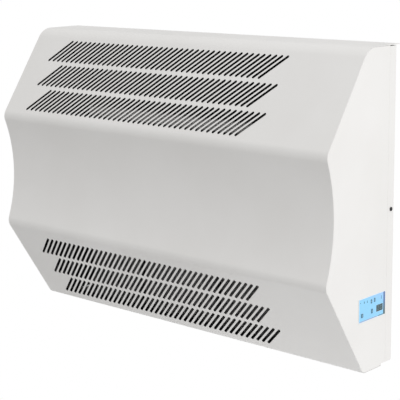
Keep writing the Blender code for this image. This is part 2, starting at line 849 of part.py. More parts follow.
def riser(name, x, top):
    start = at(x, FIRST_PASS_DEPTH, PIPE_END)
    piece(name, rod(PIPE_RADIUS, start, (0, 0, 1), top - PIPE_END, 16), copper(), True)


def pipe_union(name, x):
    """Compression fitting with two hexagons. The riser enters its top, and its socket is below."""
    up = (0, 0, 1)
    bore = flat_radius(PIPE_RADIUS + GAP, 16)
    start = at(x, FIRST_PASS_DEPTH, UNION_BOTTOM)
    length = UNION_TOP - UNION_BOTTOM
    fitting = piece(name, rod(0.0098, start, up, length, 16), brass(), True)
    for low, high in ((0.002, 0.016), (length - 0.014, length - 0.002)):
        join(fitting, rod(0.0128, start + Vector((0, 0, low)), up, high - low, 6))
    cut(fitting, rod(bore, at(x, FIRST_PASS_DEPTH, 0), up, 2 * UNION_TOP, 16))


def air_vent():
    """Bleed valve on top of the flow riser, with its key-turned screw."""
    low = PASS_HEIGHTS[1] + 0.0175 + GAP
    body = [
        (0, 0), (0.0060, 0), (0.0060, 0.008), (0.0085, 0.008),
        (0.0085, 0.016), (0.0048, 0.016), (0.0048, 0.010), (0, 0.010),
    ]
    centre = at(FLOW_PIPE_X, FIRST_PASS_DEPTH, low)
    piece("air_vent_body", turned(body, centre, (0, 0, 1), 12, False), brass(), True)
    foot = centre + Vector((0, 0, 0.010 + GAP))
    stem = [(0, 0), (0.0043, 0), (0.0043, 0.009), (0, 0.009)]
    screw = piece("air_vent_screw", turned(stem, foot, (0, 0, 1), 12, False), brass(), True, foot)
    half = 0.0025
    x, depth, z = foot.x, -foot.y, foot.z
    join(screw, block((x - half, x + half), (depth - half, depth + half), (z + 0.008, z + 0.0155)))


# Intake filter


def filter_ends():
    run = FILTER_RUN + SHEET + 2 * GAP
    return LEFT_BULKHEAD + BULKHEAD_SHEET + run, RIGHT_BULKHEAD - run


def filter_frame():
    """Frame with two ribs. Its bottom lip is pulled to slide it down out of the base."""
    low, high = filter_ends()
    depths = (FILTER_BACK, FILTER_FRONT)
    frame_plastic = finish("filter_frame_plastic", (0.05, 0.05, 0.055), 0.60)
    bottom = -GAP - FILTER_LIP
    frame = piece("filter_frame", block((low, high), depths, (bottom / 2, FILTER_TOP)), frame_plastic)
    windows = bmesh.new()
    for xs in filter_windows():
        add_block(windows, xs, (FILTER_BACK - 0.01, FILTER_FRONT + 0.01), window_heights())
    cut(frame, windows)
    lip = (FILTER_BACK - 0.012, FILTER_FRONT - GAP)
    join(frame, block((low + 0.010, high - 0.010), lip, (bottom, -GAP)))


def window_heights():
    return FILTER_BORDER, FILTER_TOP - FILTER_BORDER


def filter_windows():
    low, high = filter_ends()
    rib = 0.008
    share = (high - low - 2 * FILTER_BORDER - 2 * rib) / 3
    starts = [low + FILTER_BORDER + i * (share + rib) for i in range(3)]
    return [(start, start + share) for start in starts]


def filter_media(name, xs):
    """One pleat-free pad of filter mesh, in one window of the frame."""
    mesh_black = finish("filter_mesh", (0.02, 0.02, 0.02), 0.90)
    low, high = window_heights()
    depths = (FILTER_BACK + 0.003, FILTER_FRONT - 0.003)
    pad = block((xs[0] + GAP, xs[1] - GAP), depths, (low + GAP, high - GAP))
    piece(name, pad, mesh_black)


def filter_runner(name, side):
    """Upright channel that guides one end of the filter."""
    web = LEFT_BULKHEAD + BULKHEAD_SHEET + GAP if side < 0 else RIGHT_BULKHEAD - GAP
    back = FILTER_BACK - FILTER_RUN
    front = FILTER_FRONT + FILTER_RUN
    inward = -side
    deep = 0.009
    outline = [
        (web, back - 0.001), (web + inward * deep, back - 0.001), (web + inward * deep, back),
        (web + inward * SHEET, back), (web + inward * SHEET, front),
        (web + inward * deep, front), (web + inward * deep, front + 0.001), (web, front + 0.001),
    ]
    piece(name, along_z(outline, 0.010, RUNNER_TOP), galvanised())


# Controls


def control_overlay():
    blue = finish("control_overlay_blue", (0.20, 0.55, 0.85), 0.35)
    face = (SIDE + GAP, SIDE + GAP + LABEL_SHEET)
    overlay = piece("control_overlay", block(face, LABEL_DEPTHS, LABEL_HEIGHTS), blue)
    holes = bmesh.new()
    reach = (SIDE - SHEET, SIDE + 3 * SHEET)
    for depth, z, wide, tall in [(*WINDOW_CENTRE, *WINDOW_SIZE), *KEYS.values()]:
        add_block(holes, reach, (depth - wide / 2, depth + wide / 2), (z - tall / 2, z + tall / 2))
    cut(overlay, holes)


def centred(depth, z, wide, tall, less):
    """The depths and heights of a rectangle, made smaller by this much on each side."""
    depths = (depth - wide / 2 + less, depth + wide / 2 - less)
    return depths, (z - tall / 2 + less, z + tall / 2 - less)


def display():
    glass = finish("display_glass", (0.01, 0.03, 0.04), 0.08)
    window = (*WINDOW_CENTRE, *WINDOW_SIZE)
    back = SIDE - SHEET - 0.0008
    lens = block((back, SIDE + GAP + LABEL_SHEET), *centred(*window, GAP))
    piece("display_lens", lens, glass)
    module = block((BOARD_X + BOARD_SHEET + GAP, back - GAP), *centred(*window, -0.0015))
    piece("display_module", module, black_plastic())


def key(name, depth, z, wide, tall):
    """Push key with a retaining flange behind the side panel."""
    inner = SIDE - SHEET - GAP
    outer = SIDE + GAP + KEY_PROUD
    shape = centred(depth, z, wide, tall, GAP)
    origin = at(outer, depth, z)
    cap = piece(name, block((outer - KEY_STEM - SHEET, outer), *shape), key_plastic(), False, origin)
    join(cap, block((inner - KEY_FLANGE, inner), *centred(depth, z, wide, tall, -0.001)))


def control_board():
    green = finish("circuit_board", (0.02, 0.16, 0.06), 0.45)
    sheet = (BOARD_X, BOARD_X + BOARD_SHEET)
    depths = (LABEL_DEPTHS[0] + 0.003, LABEL_DEPTHS[1] - 0.003)
    heights = (LABEL_HEIGHTS[0] + 0.003, LABEL_HEIGHTS[1] - 0.003)
    board = piece("control_board", block(sheet, depths, heights), green)
    switches = bmesh.new()
    for depth, z, _, _ in KEYS.values():
        add_block(switches, (BOARD_X + BOARD_SHEET / 2, 0.5435), *centred(depth, z, 0.005, 0.005, 0))
    join(board, switches)


def control_box():
    """Plastic tray behind the side panel, open towards it."""
    outer_depths = (LABEL_DEPTHS[0] - 0.0025, LABEL_DEPTHS[1] + 0.0025)
    outer_heights = (LABEL_HEIGHTS[0] - 0.0055, LABEL_HEIGHTS[1] + 0.0055)
    wall = 0.0015
    ends = (BOARD_X - 0.012, SIDE - SHEET - GAP)
    tray = piece("control_box", block(ends, outer_depths, outer_heights), black_plastic())
    hollow_depths = (outer_depths[0] + wall, outer_depths[1] - wall)
    hollow_heights = (outer_heights[0] + wall, outer_heights[1] - wall)
    cut(tray, block((ends[0] + wall, SIDE + 0.01), hollow_depths, hollow_heights))


def terminal_block():
    """Row of screw terminals on a rail foot."""
    base = block(BLOCK_X, (PAN_FACE + GAP, 0.034), BLOCK_Z)
    strip = piece("terminal_block", base, finish("terminal_plastic", (0.75, 0.73, 0.68), 0.5))
    count = 8
    pitch = (BLOCK_X[1] - BLOCK_X[0]) / count
    towers = bmesh.new()
    heights = (BLOCK_Z[0] + 0.007, BLOCK_Z[1] - 0.007)
    for i in range(count):
        start = BLOCK_X[0] + pitch * i
        add_block(towers, (start + 0.001, start + pitch - 0.001), (0.033, 0.043), heights)
    join(strip, towers)


def speed_transformer():
    """Laminated core with its winding, on a foot plate."""
    iron = finish("transformer_iron", (0.12, 0.11, 0.10), 0.6, 0.5)
    foot = block((0.402, 0.478), (PAN_FACE + GAP, 0.0215), (0.296, 0.354))
    core = piece("speed_transformer", foot, iron)
    join(core, block((0.412, 0.468), (0.021, 0.062), (0.304, 0.346)))
    join(core, block((0.423, 0.457), (0.0245, 0.0585), (0.298, 0.352)))


def cable_gland():
    """Cable inlet in the base plate, with its lock nut above."""
    bore = 0.0050
    centre = at(GLAND_X, GLAND_DEPTH, 0)
    flange = PAN_BOTTOM + GAP
    profile = [
        (bore, 0.0004), (0.0078, 0.0004), (0.0110, 0.0022), (0.0110, flange - 2 * GAP),
        (0.0080, flange - 2 * GAP), (0.0080, 0.0210), (bore, 0.0210),
    ]
    piece("cable_gland", turned(profile, centre, (0, 0, 1), 12, True), black_plastic(), True)
    low = flange + SHEET + GAP
    thread = flat_radius(0.0080 + GAP, 12)
    nut = tube(thread, 0.0125, centre + Vector((0, 0, low)), (0, 0, 1), 0.005, 12)
    piece("gland_lock_nut", nut, black_plastic())


def thermal_cutout():
    """Manual-reset cut-out on the right bulkhead, with its button."""
    wall = RIGHT_BULKHEAD + BULKHEAD_SHEET + GAP
    start = at(wall, CUTOUT_DEPTH, CUTOUT_Z)
    profile = [
        (0, 0), (0.0120, 0), (0.0120, 0.002), (0.0090, 0.002), (0.0090, 0.022),
        (0.0040, 0.022), (0.0040, 0.011), (0, 0.011),
    ]
    piece("thermal_cutout", turned(profile, start, (1, 0, 0), 12, False), black_plastic(), True)
    red = finish("red_plastic", (0.55, 0.03, 0.02), 0.4)
    foot = at(wall + 0.0135, CUTOUT_DEPTH, CUTOUT_Z)
    stem = [(0, 0), (0.0034, 0), (0.0034, 0.0105), (0.0026, 0.0115), (0, 0.0115)]
    button = turned(stem, foot, (1, 0, 0), 12, False)
    piece("cutout_reset_button", button, red, True, foot)


def lead_grommet():
    """Rubber ring that lines the lead's hole in the right bulkhead."""
    bore = 0.0043
    lip = 0.0120
    neck = 0.0086
    edge = 0.0020
    half = BULKHEAD_SHEET / 2 + GAP
    profile = [
        (bore, -half - edge), (lip, -half - edge), (lip, -half), (neck, -half),
        (neck, half), (lip, half), (lip, half + edge), (bore, half + edge),
    ]
    centre = at(RIGHT_BULKHEAD + BULKHEAD_SHEET / 2, GROMMET_DEPTH, GROMMET_Z)
    ring = turned(profile, centre, (1, 0, 0), 12, True)
    piece("lead_grommet", ring, finish("rubber", (0.03, 0.03, 0.03), 0.85), True)


def leads():
    black = finish("cable_sheath", (0.025, 0.025, 0.027), 0.6)
    motor = FAN_CENTRE_X + 0.045
    back = SHAFT_DEPTH - MOTOR_RADIUS - GAP
    route = [
        at(motor, back, SHAFT_Z), at(motor, back - 0.014, SHAFT_Z - 0.003),
        at(motor + 0.006, 0.045, 0.255), at(motor + 0.020, 0.043, 0.210),
        at(0.040, 0.046, 0.172), at(0.150, 0.050, 0.160), at(0.270, 0.050, 0.161),
        at(0.325, GROMMET_DEPTH, GROMMET_Z), at(0.350, GROMMET_DEPTH, GROMMET_Z),
        at(0.371, GROMMET_DEPTH, GROMMET_Z), at(0.391, GROMMET_DEPTH, GROMMET_Z - 0.003),
        at(0.408, 0.046, 0.145), at(0.414, 0.034, 0.118), at(0.414, 0.027, BLOCK_Z[1] + 0.014),
        at(0.414, 0.027, BLOCK_Z[1] + 2 * GAP),
    ]
    wire("motor_lead", smooth_route(route, 0.020), 0.0035, black)
    low = LABEL_HEIGHTS[0] - 0.0055 - GAP
    route = [
        at(0.536, 0.100, low), at(0.535, 0.096, low - 0.018), at(0.524, 0.074, 0.084),
        at(0.512, 0.036, 0.073), at(0.502, 0.027, 0.072), at(BLOCK_X[1] + 2 * GAP, 0.027, 0.072),
    ]
    wire("control_lead", smooth_route(route, 0.012), 0.0025, black)


def build():
    clear_scene()
    base = bpy.data.objects.new("casing_base", None)
    base.location = (0, 0, -RAIL_CENTRE)
    bpy.context.scene.collection.objects.link(base)

    front_wrap()
    right_side_panel()
    side_panel("left_side_panel", -1)
    rear_pan()
    base_plate()
    casing_screw("right_casing_screw", 1)
    casing_screw("left_casing_screw", -1)
    wall_rail()
    hanger_rail()
    wall_spacer("left_wall_spacer", -SPACER_X)
    wall_spacer("right_wall_spacer", SPACER_X)

    low, high = PASS_HEIGHTS
    stubs = [(0.0075, FIRST_PASS_DEPTH, low), (0.0075, FIRST_PASS_DEPTH, high)]
    bulkhead("left_bulkhead", LEFT_BULKHEAD, stubs)
    bulkhead("right_bulkhead", RIGHT_BULKHEAD, [(0.0092, GROMMET_DEPTH, GROMMET_Z)])
    fan_deck()
    coil_baffle()
    upper_lining()
    for hand, centre in blower_centres().items():
        blower_housing(f"{hand}_blower_housing", centre)
        impeller(f"{hand}_impeller", centre)
    fan_shaft()
    motor_housing()
    motor_bearing("left_motor_bearing", -1)
    motor_bearing("right_motor_bearing", 1)
    motor_cradle()

    coil_fin_block()
    coil_end_plate("coil_left_end_plate", COIL_LEFT - END_PLATE - GAP)
    coil_end_plate("coil_right_end_plate", COIL_RIGHT + GAP)
    coil_tube()
    riser("return_riser", RETURN_PIPE_X, PASS_HEIGHTS[0] + 0.0125)
    riser("flow_riser", FLOW_PIPE_X, PASS_HEIGHTS[1] + 0.0175)
    pipe_union("return_union", RETURN_PIPE_X)
    pipe_union("flow_union", FLOW_PIPE_X)
    air_vent()

    filter_frame()
    for hand, xs in zip(("left", "middle", "right"), filter_windows()):
        filter_media(f"{hand}_filter_pad", xs)
    filter_runner("left_filter_runner", -1)
    filter_runner("right_filter_runner", 1)

    control_overlay()
    display()
    for name, sizes in KEYS.items():
        key(name, *sizes)
    control_board()
    control_box()
    terminal_block()
    speed_transformer()
    cable_gland()
    thermal_cutout()
    lead_grommet()
    leads()


build()
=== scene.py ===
"""Looks of a wall-hung fan convector heater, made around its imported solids.

Metres, +Z up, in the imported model's own frame. The wall is the plane Y = 0 and the front
faces -Y. A depth is a distance from the wall, forwards, and heights are measured from the
casing's base, which is where at() puts them. A profile is a line of (radius, distance along
an axis).
"""

import json
import math

import bmesh
import bpy
from mathutils import Matrix, Vector
from mathutils.geometry import delaunay_2d_cdt


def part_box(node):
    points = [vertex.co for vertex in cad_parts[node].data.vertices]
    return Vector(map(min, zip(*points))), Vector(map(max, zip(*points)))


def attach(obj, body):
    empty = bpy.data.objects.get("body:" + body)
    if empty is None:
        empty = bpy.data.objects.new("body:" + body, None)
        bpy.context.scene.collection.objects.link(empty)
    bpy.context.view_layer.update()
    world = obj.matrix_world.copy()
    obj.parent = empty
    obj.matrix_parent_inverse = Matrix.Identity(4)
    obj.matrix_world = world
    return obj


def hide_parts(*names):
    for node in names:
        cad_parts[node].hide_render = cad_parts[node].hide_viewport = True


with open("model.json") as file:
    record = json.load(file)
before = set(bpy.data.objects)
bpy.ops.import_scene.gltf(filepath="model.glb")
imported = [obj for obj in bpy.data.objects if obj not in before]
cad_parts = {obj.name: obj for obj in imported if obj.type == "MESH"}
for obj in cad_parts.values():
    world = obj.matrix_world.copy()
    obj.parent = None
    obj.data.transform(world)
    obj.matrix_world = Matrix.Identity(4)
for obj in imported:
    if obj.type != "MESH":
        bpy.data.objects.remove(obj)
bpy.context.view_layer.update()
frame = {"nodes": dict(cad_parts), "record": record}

record = frame["record"]
BODY_OF = {n: body for body, nodes in record["behaviour"]["bodies"].items() for n in nodes}
SLOT_OF = {part["node"]: part["material_slot"] for part in record["subparts"]}

RIGHT = (1, 0, 0)
FORWARD = (0, -1, 0)
UP = (0, 0, 1)
WHITE = (1, 1, 1, 1)

# Casing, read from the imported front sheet
FRONT_LOW, FRONT_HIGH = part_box("front_wrap")
SIDE = FRONT_HIGH.x
BASE = FRONT_LOW.z
HEIGHT = FRONT_HIGH.z - BASE

# Casing, as designed
SHEET = 0.0012
GAP = 0.0003
RIM = 0.0003
LIP_DEPTH = 0.0005
TOP_CORNER = (0.130, HEIGHT)
UPPER_RIDGE = (0.283, 0.534)
LOWER_RIDGE = (0.283, 0.232)
BASE_CORNER = (0.136, 0.0)
TOP_BEND = 0.050
RIDGE_BEND = 0.030
BASE_BEND = 0.016
BEND_STEPS = 18
BASE_STEPS = 12
WAVE_STEPS = 48
WAVE_DEPTH = 0.255
WAVE_HEIGHT = 0.385
WAVE_RADIUS = 0.390
RETURN_DEPTH = 0.062
NOTCH_HEIGHT = 0.0065
SEAM_DEPTH = 0.045
TONGUES = ((0.030, 0.100), (0.210, 0.730))
TONGUE_REACH = 0.012

# Rear pan and casing screws. A thread is (crest, root, start, pitch, rise, turns)
PAN_DEPTH = 0.018
PAN_FACE = PAN_DEPTH + SHEET
PAN_BOTTOM = 0.006
PAN_TOP = 0.757
PAN_BEND = 0.0033
TOP_FLANGE_DEPTH = 0.060
SCREW_DEPTH, SCREW_HEIGHT = 0.032, 0.377
SCREW_BORE = 0.0024
SCREW_TIP = [(0, -0.0105), (0.0019, -0.0090)]
SCREW_THREAD = (0.0021, 0.0017, -0.0087, 0.0012, 0.0006, 7)
SCREW_HEAD = [(0.0050, 0), (0.0049, 0.0011), (0.0030, 0.0022), (0, 0.0024)]
CROSS_LONG = 0.0022
CROSS_HALF = 0.0006

# Slots
SLOTS_IN_ROW = 43
SLOT_ROWS = 3
SLOT_PITCH = 0.0177
SLOT_ROW_PITCH = 0.0755
SLOT_LENGTH = 0.0915
SLOT_WIDTH = 0.0070
SLOT_LEAN = math.radians(45)
SLOT_CENTRE_X = -0.064
SLOT_CENTRE_DOWN = 0.142
SLIDE_SLOT = (0.0965, 0.1125)
SLIDE_GAP = 0.0006
SLIDE_CORNER = 0.0012

# Controls. A legend is (depth, width, height), and a chip (depth, height, width, length)
KEYS = ("power_key", "set_key", "up_key", "down_key")
KEY_FLANGE = 0.0010
KEY_FLANGE_SHEET = 0.0015
KEY_CORNER = 0.0010
KEY_CROWN = [(0.0009, 0.0), (0.0005, 0.00006), (0.0002, 0.00020), (0.0, 0.0005)]
KEY_STEM = 0.002
LEGENDS = (
    (0.150, 0.0020, 0.0022), (0.135, 0.0026, 0.0050),
    (0.123, 0.0022, 0.0060), (0.066, 0.0016, 0.0085),
)
LEGENDS_DOWN = 0.0085
FILM_CORNER = 0.0025
FILM_BORDER = 0.0013
BAND_WIDTH = 0.0075
PRINT_CORNER = 0.0008
LINE_SPAN = (0.0006, 0.0024)
LINE_SPLIT = (0.022, 0.026)
INK = 0.00005
DIGITS = (("abged", 0.0052), ("abcdef", -0.0052))
DIGIT_WIDTH = 0.0046
DIGIT_HEIGHT = 0.0088
SEGMENT = 0.0009
BOARD_SHEET = 0.0016
SWITCH_HALF, SWITCH_RISE = 0.003, 0.0022
STEM_RADIUS = 0.0015
CHIPS = ((0.122, 0.152, 0.010, 0.010), (0.125, 0.136, 0.007, 0.005))
CHIP_HEIGHT = 0.0014
CHIP_LEGS = 8
LEG_REACH, LEG_RISE, LEG_HALF = 0.0008, 0.0005, 0.0002
SMALL_PARTS = 9
SMALL_PART_PITCH = 0.0085
SMALL_PART_DEPTHS = (0.062, 0.0642)
SMALL_PART_HEIGHTS = (0.131, 0.1322)
SMALL_PART_RISE = 0.0008

# Heat exchanger
FIN_PITCH = 0.004
FIN_SHEET = 0.0002
TUBE_RADIUS = 0.00476
PASS_DEPTHS = [0.045 + 0.036 * i for i in range(5)]
PASS_HEIGHTS = (0.4575, 0.4925)
RETURN_BEND_OUT = 0.006
RISER_ROUND = 0.004
UNION_BORE, UNION_RADIUS = 0.0078, 0.0098
NUT_ACROSS, NUT_HEIGHT, NUT_BORE = 0.0222, 0.014, 0.0097
NUT_MARGIN = 0.002
RING_INNER, RING_OUTER, RING_PITCH = 0.0096, 0.0104, 0.003
VENT_BODY = [
    (0, 0), (0.0060, 0), (0.0060, 0.008), (0.0085, 0.008),
    (0.0085, 0.016), (0.0048, 0.016), (0.0048, 0.010), (0, 0.010),
]
VENT_FLOOR = 0.010
VENT_SCREW_RADIUS, VENT_SCREW_LENGTH = 0.0043, 0.009
VENT_SQUARE_HALF = 0.0025

# Fans
SHAFT_DEPTH = 0.125
SHAFT_Z = 0.300
SCROLL_WIDE = 0.098
SCROLL_TIGHT = 0.072
SCROLL_TURN = math.radians(280)
SCROLL_STEPS = 60
BLOWER_SHEET = 0.001
INLET_RADIUS = 0.050
INLET_SHEET = 0.0009
BLADES = 38
BLADE_SHEET = 0.0008
BLADE_LINE = ((0.0545, 0.0105), (0.0548, 0.0), (0.0644, 0.0062))
CAGE_INNER, CAGE_OUTER = 0.054, 0.065
CAGE_RING = 0.005
DISC = [
    (0.0053, -0.015), (0.012, -0.015), (0.0125, -0.002), (0.056, -0.0012),
    (0.056, 0.0012), (0.0125, 0.002), (0.012, 0.015), (0.0053, 0.015),
]
MOTOR_GROOVE_PITCH = 0.0062
MOTOR_GROOVE = 0.0028

# Filter, foam and small parts
MESH_PITCH = 0.0027
MESH_THREAD = 0.00035
FILTER_BORDER = 0.002
FOAM_CELLS = (84, 20)
FOAM_DIP = 0.0045
FOAM_EDGE_DIP = 0.006
DOME_NUT = [
    (0.0050, 0.0004), (0.0078, 0.0004), (0.0104, 0.0022), (0.0104, 0.0045),
    (0.0110, 0.0047), (0.0110, 0.0057), (0.0080, 0.0057),
]
GLAND_THREAD = (0.0080, 0.0073, 0.0072, 0.0015, 0.0007, 9)
GLAND_END = [(0.0078, 0.0210), (0.0050, 0.0210)]
GLAND_NUT_ACROSS, GLAND_NUT_BORE = 0.0216, 0.0083
GRIP_RIBS = 18
GRIP_RIB = ((0.0100, -0.0006), (0.0110, -0.0004), (0.0110, 0.0004), (0.0100, 0.0006))
GRIP_START, GRIP_LENGTH = 0.0023, 0.0024
CUTOUT_BODY = [
    (0, 0), (0.0120, 0), (0.0120, 0.002), (0.0090, 0.002), (0.0090, 0.0215),
    (0.0040, 0.022), (0.0040, 0.011), (0, 0.011),
]
TAB_START, TAB_END = 0.012, 0.020
TAB_OFFSET, TAB_HALF_SHEET, TAB_HALF_WIDTH = 0.0086, 0.0004, 0.003
RESET_RADIUS, RESET_TIP = 0.0034, 0.0026
GROMMET_BORE = 0.0043
GROMMET_NECK = 0.0086
GROMMET_LIP = 0.002
CLAMPS = 8
CLAMP_BED = 0.034
CLAMP_STEP = 0.007
CLAMP_GAP = 0.0008
FUNNEL_RADIUS, FUNNEL_RISE, FUNNEL_INSET = 0.0028, 0.0003, 0.0035
CLAMP_SCREW = [(0, 0), (0.0032, 0), (0.0032, 0.0006), (0, 0.0008)]

# Transformer: its core in x, depth and height, its bobbin in depth and height, and the
# winding and the two ends as (x, length, material)
FOOT_PLATE_DEPTH = 0.0215
CORE = ((0.412, 0.468), (0.0216, 0.0619), (0.304, 0.346))
BOBBIN = ((0.0245, 0.0585), (0.299, 0.351))
BOBBIN_CORNER = 0.006
WINDING_PARTS = ((0.4235, 0.033, 1), (0.4220, 0.0013, 3), (0.4567, 0.0013, 3))

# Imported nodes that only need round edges, with the radius
SOFTENED = {
    "base_plate": 0.0003, "wall_rail": 0.0005, "hanger_rail": 0.0005, "coil_baffle": 0.0003,
    "left_filter_runner": 0.0003, "right_filter_runner": 0.0003, "left_bulkhead": 0.0003,
    "right_bulkhead": 0.0003, "fan_deck": 0.0003, "coil_left_end_plate": 0.0003,
    "coil_right_end_plate": 0.0003, "motor_cradle": 0.0004, "filter_frame": 0.0004,
    "control_box": 0.0004, "display_module": 0.0004,
}

# Leads: radius, and the points of their routes as (x, depth, height)
LEADS = {
    "motor_lead": (0.0035, (
        (-0.020, 0.0727, 0.300), (-0.020, 0.0587, 0.297), (-0.014, 0.045, 0.255),
        (0.000, 0.043, 0.210), (0.040, 0.046, 0.172), (0.150, 0.050, 0.160),
        (0.270, 0.050, 0.161), (0.325, 0.050, 0.165), (0.371, 0.050, 0.165),
        (0.391, 0.050, 0.162), (0.408, 0.046, 0.145), (0.414, 0.034, 0.118),
        (0.414, 0.027, 0.099), (0.414, 0.027, 0.0856),
    )),
    "control_lead": (0.0025, (
        (0.536, 0.100, 0.1202), (0.535, 0.096, 0.1022), (0.524, 0.074, 0.084),
        (0.512, 0.036, 0.073), (0.502, 0.027, 0.072), (0.4906, 0.027, 0.072),
    )),
}

# Camera, light and floor
CAMERA_AZIMUTH = 42.52
CAMERA_ELEVATION = 11.80
CAMERA_ROLL = -0.76
CAMERA_AT = (2.178, -2.466, 0.384)
CAMERA_LENS = 114.2
FLOOR_DROP = 1.15
FLOOR_RADIUS = 1.0
FLOOR_GLOW = 0.30
DOME_LEVEL = 0.715
DOME_LEAN = (0.40, 0.05, 0.32)
KEY_POWER = 15.0
KEY_AT = (3.2, -1.6, 1.4)
KEY_TARGET = (0.2, -0.15, -0.25)
KEY_SIZE = (1.6, 2.2)


# Plane geometry of the casing's outline, as (depth, height)


def arc(centre, start, end, steps):
    """Points from start to end round a centre, by the shorter way."""
    centre = Vector(centre)
    first = Vector(start) - centre
    last = Vector(end) - centre
    turn = math.atan2(first.x * last.y - first.y * last.x, first.dot(last))
    points = []
    for step in range(steps + 1):
        a = turn * step / steps
        spun = Vector((
            first.x * math.cos(a) - first.y * math.sin(a),
            first.x * math.sin(a) + first.y * math.cos(a),
        ))
        points.append(tuple(centre + spun))
    return points


def bend(before, corner, after, radius, steps):
    """The arc that rounds one corner of an outline."""
    corner = Vector(corner)
    back = (Vector(before) - corner).normalized()
    ahead = (Vector(after) - corner).normalized()
    half = math.acos(max(-1.0, min(1.0, back.dot(ahead)))) / 2
    reach = radius / math.tan(half)
    centre = corner + (back + ahead).normalized() * radius / math.sin(half)
    return arc(centre, corner + back * reach, corner + ahead * reach, steps)


def ridge(far, near):
    """Ridge bend between the flat slope far-near and the hollow front.

    Returns its centre, where it meets the slope, and where it meets the hollow.
    """
    wave = Vector((WAVE_DEPTH + WAVE_RADIUS, WAVE_HEIGHT))
    run = (Vector(near) - Vector(far)).normalized()
    inward = Vector((-abs(run.y), math.copysign(run.x, run.y)))
    offset = Vector(far) + inward * RIDGE_BEND - wave
    along = offset.dot(run)
    reach = WAVE_RADIUS + RIDGE_BEND
    distance = -along - math.sqrt(along * along - offset.length_squared + reach * reach)
    centre = wave + offset + run * distance
    return centre, centre - inward * RIDGE_BEND, wave + (centre - wave) * WAVE_RADIUS / reach


def casing_outline():
    """The casing's outer line, from the lip at the wall, over the front, to the base's end.

    Also gives the numbers of the points where its three flat, perforated runs start.
    """
    wave = Vector((WAVE_DEPTH + WAVE_RADIUS, WAVE_HEIGHT))
    lip = (LIP_DEPTH, HEIGHT)
    end = (RETURN_DEPTH, 0.0)
    upper, upper_slope, upper_wave = ridge(TOP_CORNER, UPPER_RIDGE)
    lower, lower_slope, lower_wave = ridge(BASE_CORNER, LOWER_RIDGE)
    points = [lip] + bend(lip, TOP_CORNER, UPPER_RIDGE, TOP_BEND, BEND_STEPS)
    flats = [len(points) - 1]
    points += arc(upper, upper_slope, upper_wave, BEND_STEPS)
    points += arc(wave, upper_wave, lower_wave, WAVE_STEPS)[1:-1]
    points += arc(lower, lower_wave, lower_slope, BEND_STEPS)
    flats.append(len(points) - 1)
    points += bend(LOWER_RIDGE, BASE_CORNER, end, BASE_BEND, BASE_STEPS)
    flats.append(len(points) - 1)
    return points + [end], flats


def inset(points, distance, closed=False):
    """An outline moved to its right-hand side by a distance."""
    vectors = [Vector(p) for p in points]
    count = len(vectors)
    normals = []
    for i, point in enumerate(vectors):
        run = (vectors[(i + 1) % count] - point).normalized()
        normals.append(Vector((run.y, -run.x)))
    moved = []
    for i, point in enumerate(vectors):
        before = normals[i - 1 if closed or i else 0]
        after = normals[i if closed or i < count - 1 else i - 1]
        middle = (before + after).normalized()
        moved.append(tuple(point + middle * distance / middle.dot(after)))
    return moved


def rounded(centre, along, half_long, half_wide, radius, grow, steps):
    """A rectangle with round corners, grown outwards, as plane points. A slot is one too."""
    along = Vector(along)
    across = Vector((-along.y, along.x))
    points = []
    for quarter in range(4):
        side = (1, 1), (-1, 1), (-1, -1), (1, -1)
        straight = half_long if quarter % 2 else half_wide
        first = 0 if straight - radius > 1e-9 else 1
        for step in range(first, steps + 1):
            a = math.radians(90) * (quarter + step / steps)
            u = side[quarter][0] * (half_long - radius) + (radius + grow) * math.cos(a)
            v = side[quarter][1] * (half_wide - radius) + (radius + grow) * math.sin(a)
            points.append(Vector(centre) + along * u + across * v)
    return points


# Meshes


def at(x, depth, z):
    return Vector((x, -depth, BASE + z))


def add_loop(bm, points):
    return [bm.verts.new(p) for p in points]


def bridge(bm, first, second, material=0, skip=()):
    """Quads between two closed loops of the same length."""
    count = len(first)
    for i in range(count):
        if i in skip:
            continue
        j = (i + 1) % count
        bm.faces.new((first[i], first[j], second[j], second[i])).material_index = material


def inside_polygon(point, polygon):
    x, y = point
    inside = False
    for i, (x1, y1) in enumerate(polygon):
        x0, y0 = polygon[i - 1]
        if (y0 > y) != (y1 > y) and x < x0 + (y - y0) * (x1 - x0) / (y1 - y0):
            inside = not inside
    return inside


def fill(bm, loops, to_plane, material=0):
    """Triangles between a flat outline, the first loop of vertices, and the holes in it."""
    verts = [v for loop in loops for v in loop]
    flat = [Vector(to_plane(v.co)) * 1000 for v in verts]
    owner = []
    edges = []
    for number, loop in enumerate(loops):
        start = len(owner)
        count = len(loop)
        owner += [number] * count
        edges += [(start + i, start + (i + 1) % count) for i in range(count)]
    outline = [tuple(p) for p in flat[: len(loops[0])]]
    result = delaunay_2d_cdt(flat, edges, [], 0, 1e-6)
    source = [ids[0] for ids in result[3]]
    for face in result[2]:
        corners = [source[i] for i in face]
        owners = {owner[i] for i in corners}
        if owners == {0}:
            middle = sum((flat[i] for i in corners), Vector((0, 0))) / 3
            if not inside_polygon(middle, outline):
                continue
        elif len(owners) == 1:
            continue
        bm.faces.new([verts[i] for i in corners]).material_index = material


def rim_steps(thickness, radius, steps=2):
    """How far a rounded cut edge stands back from its face, and how deep, across a sheet."""
    quarter = [math.radians(90) * i / steps for i in range(steps + 1)]
    near = [(radius * (1 - math.sin(a)), radius * (1 - math.cos(a))) for a in quarter]
    far = [(back, thickness - deep) for back, deep in reversed(near)]
    return near + far


def show(name, data):
    """A new object in the scene."""
    obj = bpy.data.objects.new(name, data)
    bpy.context.scene.collection.objects.link(obj)
    return obj


def new_object(name, bm, looks=()):
    bmesh.ops.remove_doubles(bm, verts=bm.verts, dist=1e-6)
    bmesh.ops.recalc_face_normals(bm, faces=bm.faces)
    mesh = bpy.data.meshes.new(name)
    bm.to_mesh(mesh)
    bm.free()
    for look in looks:
        mesh.materials.append(finish(look))
    return show(name, mesh)


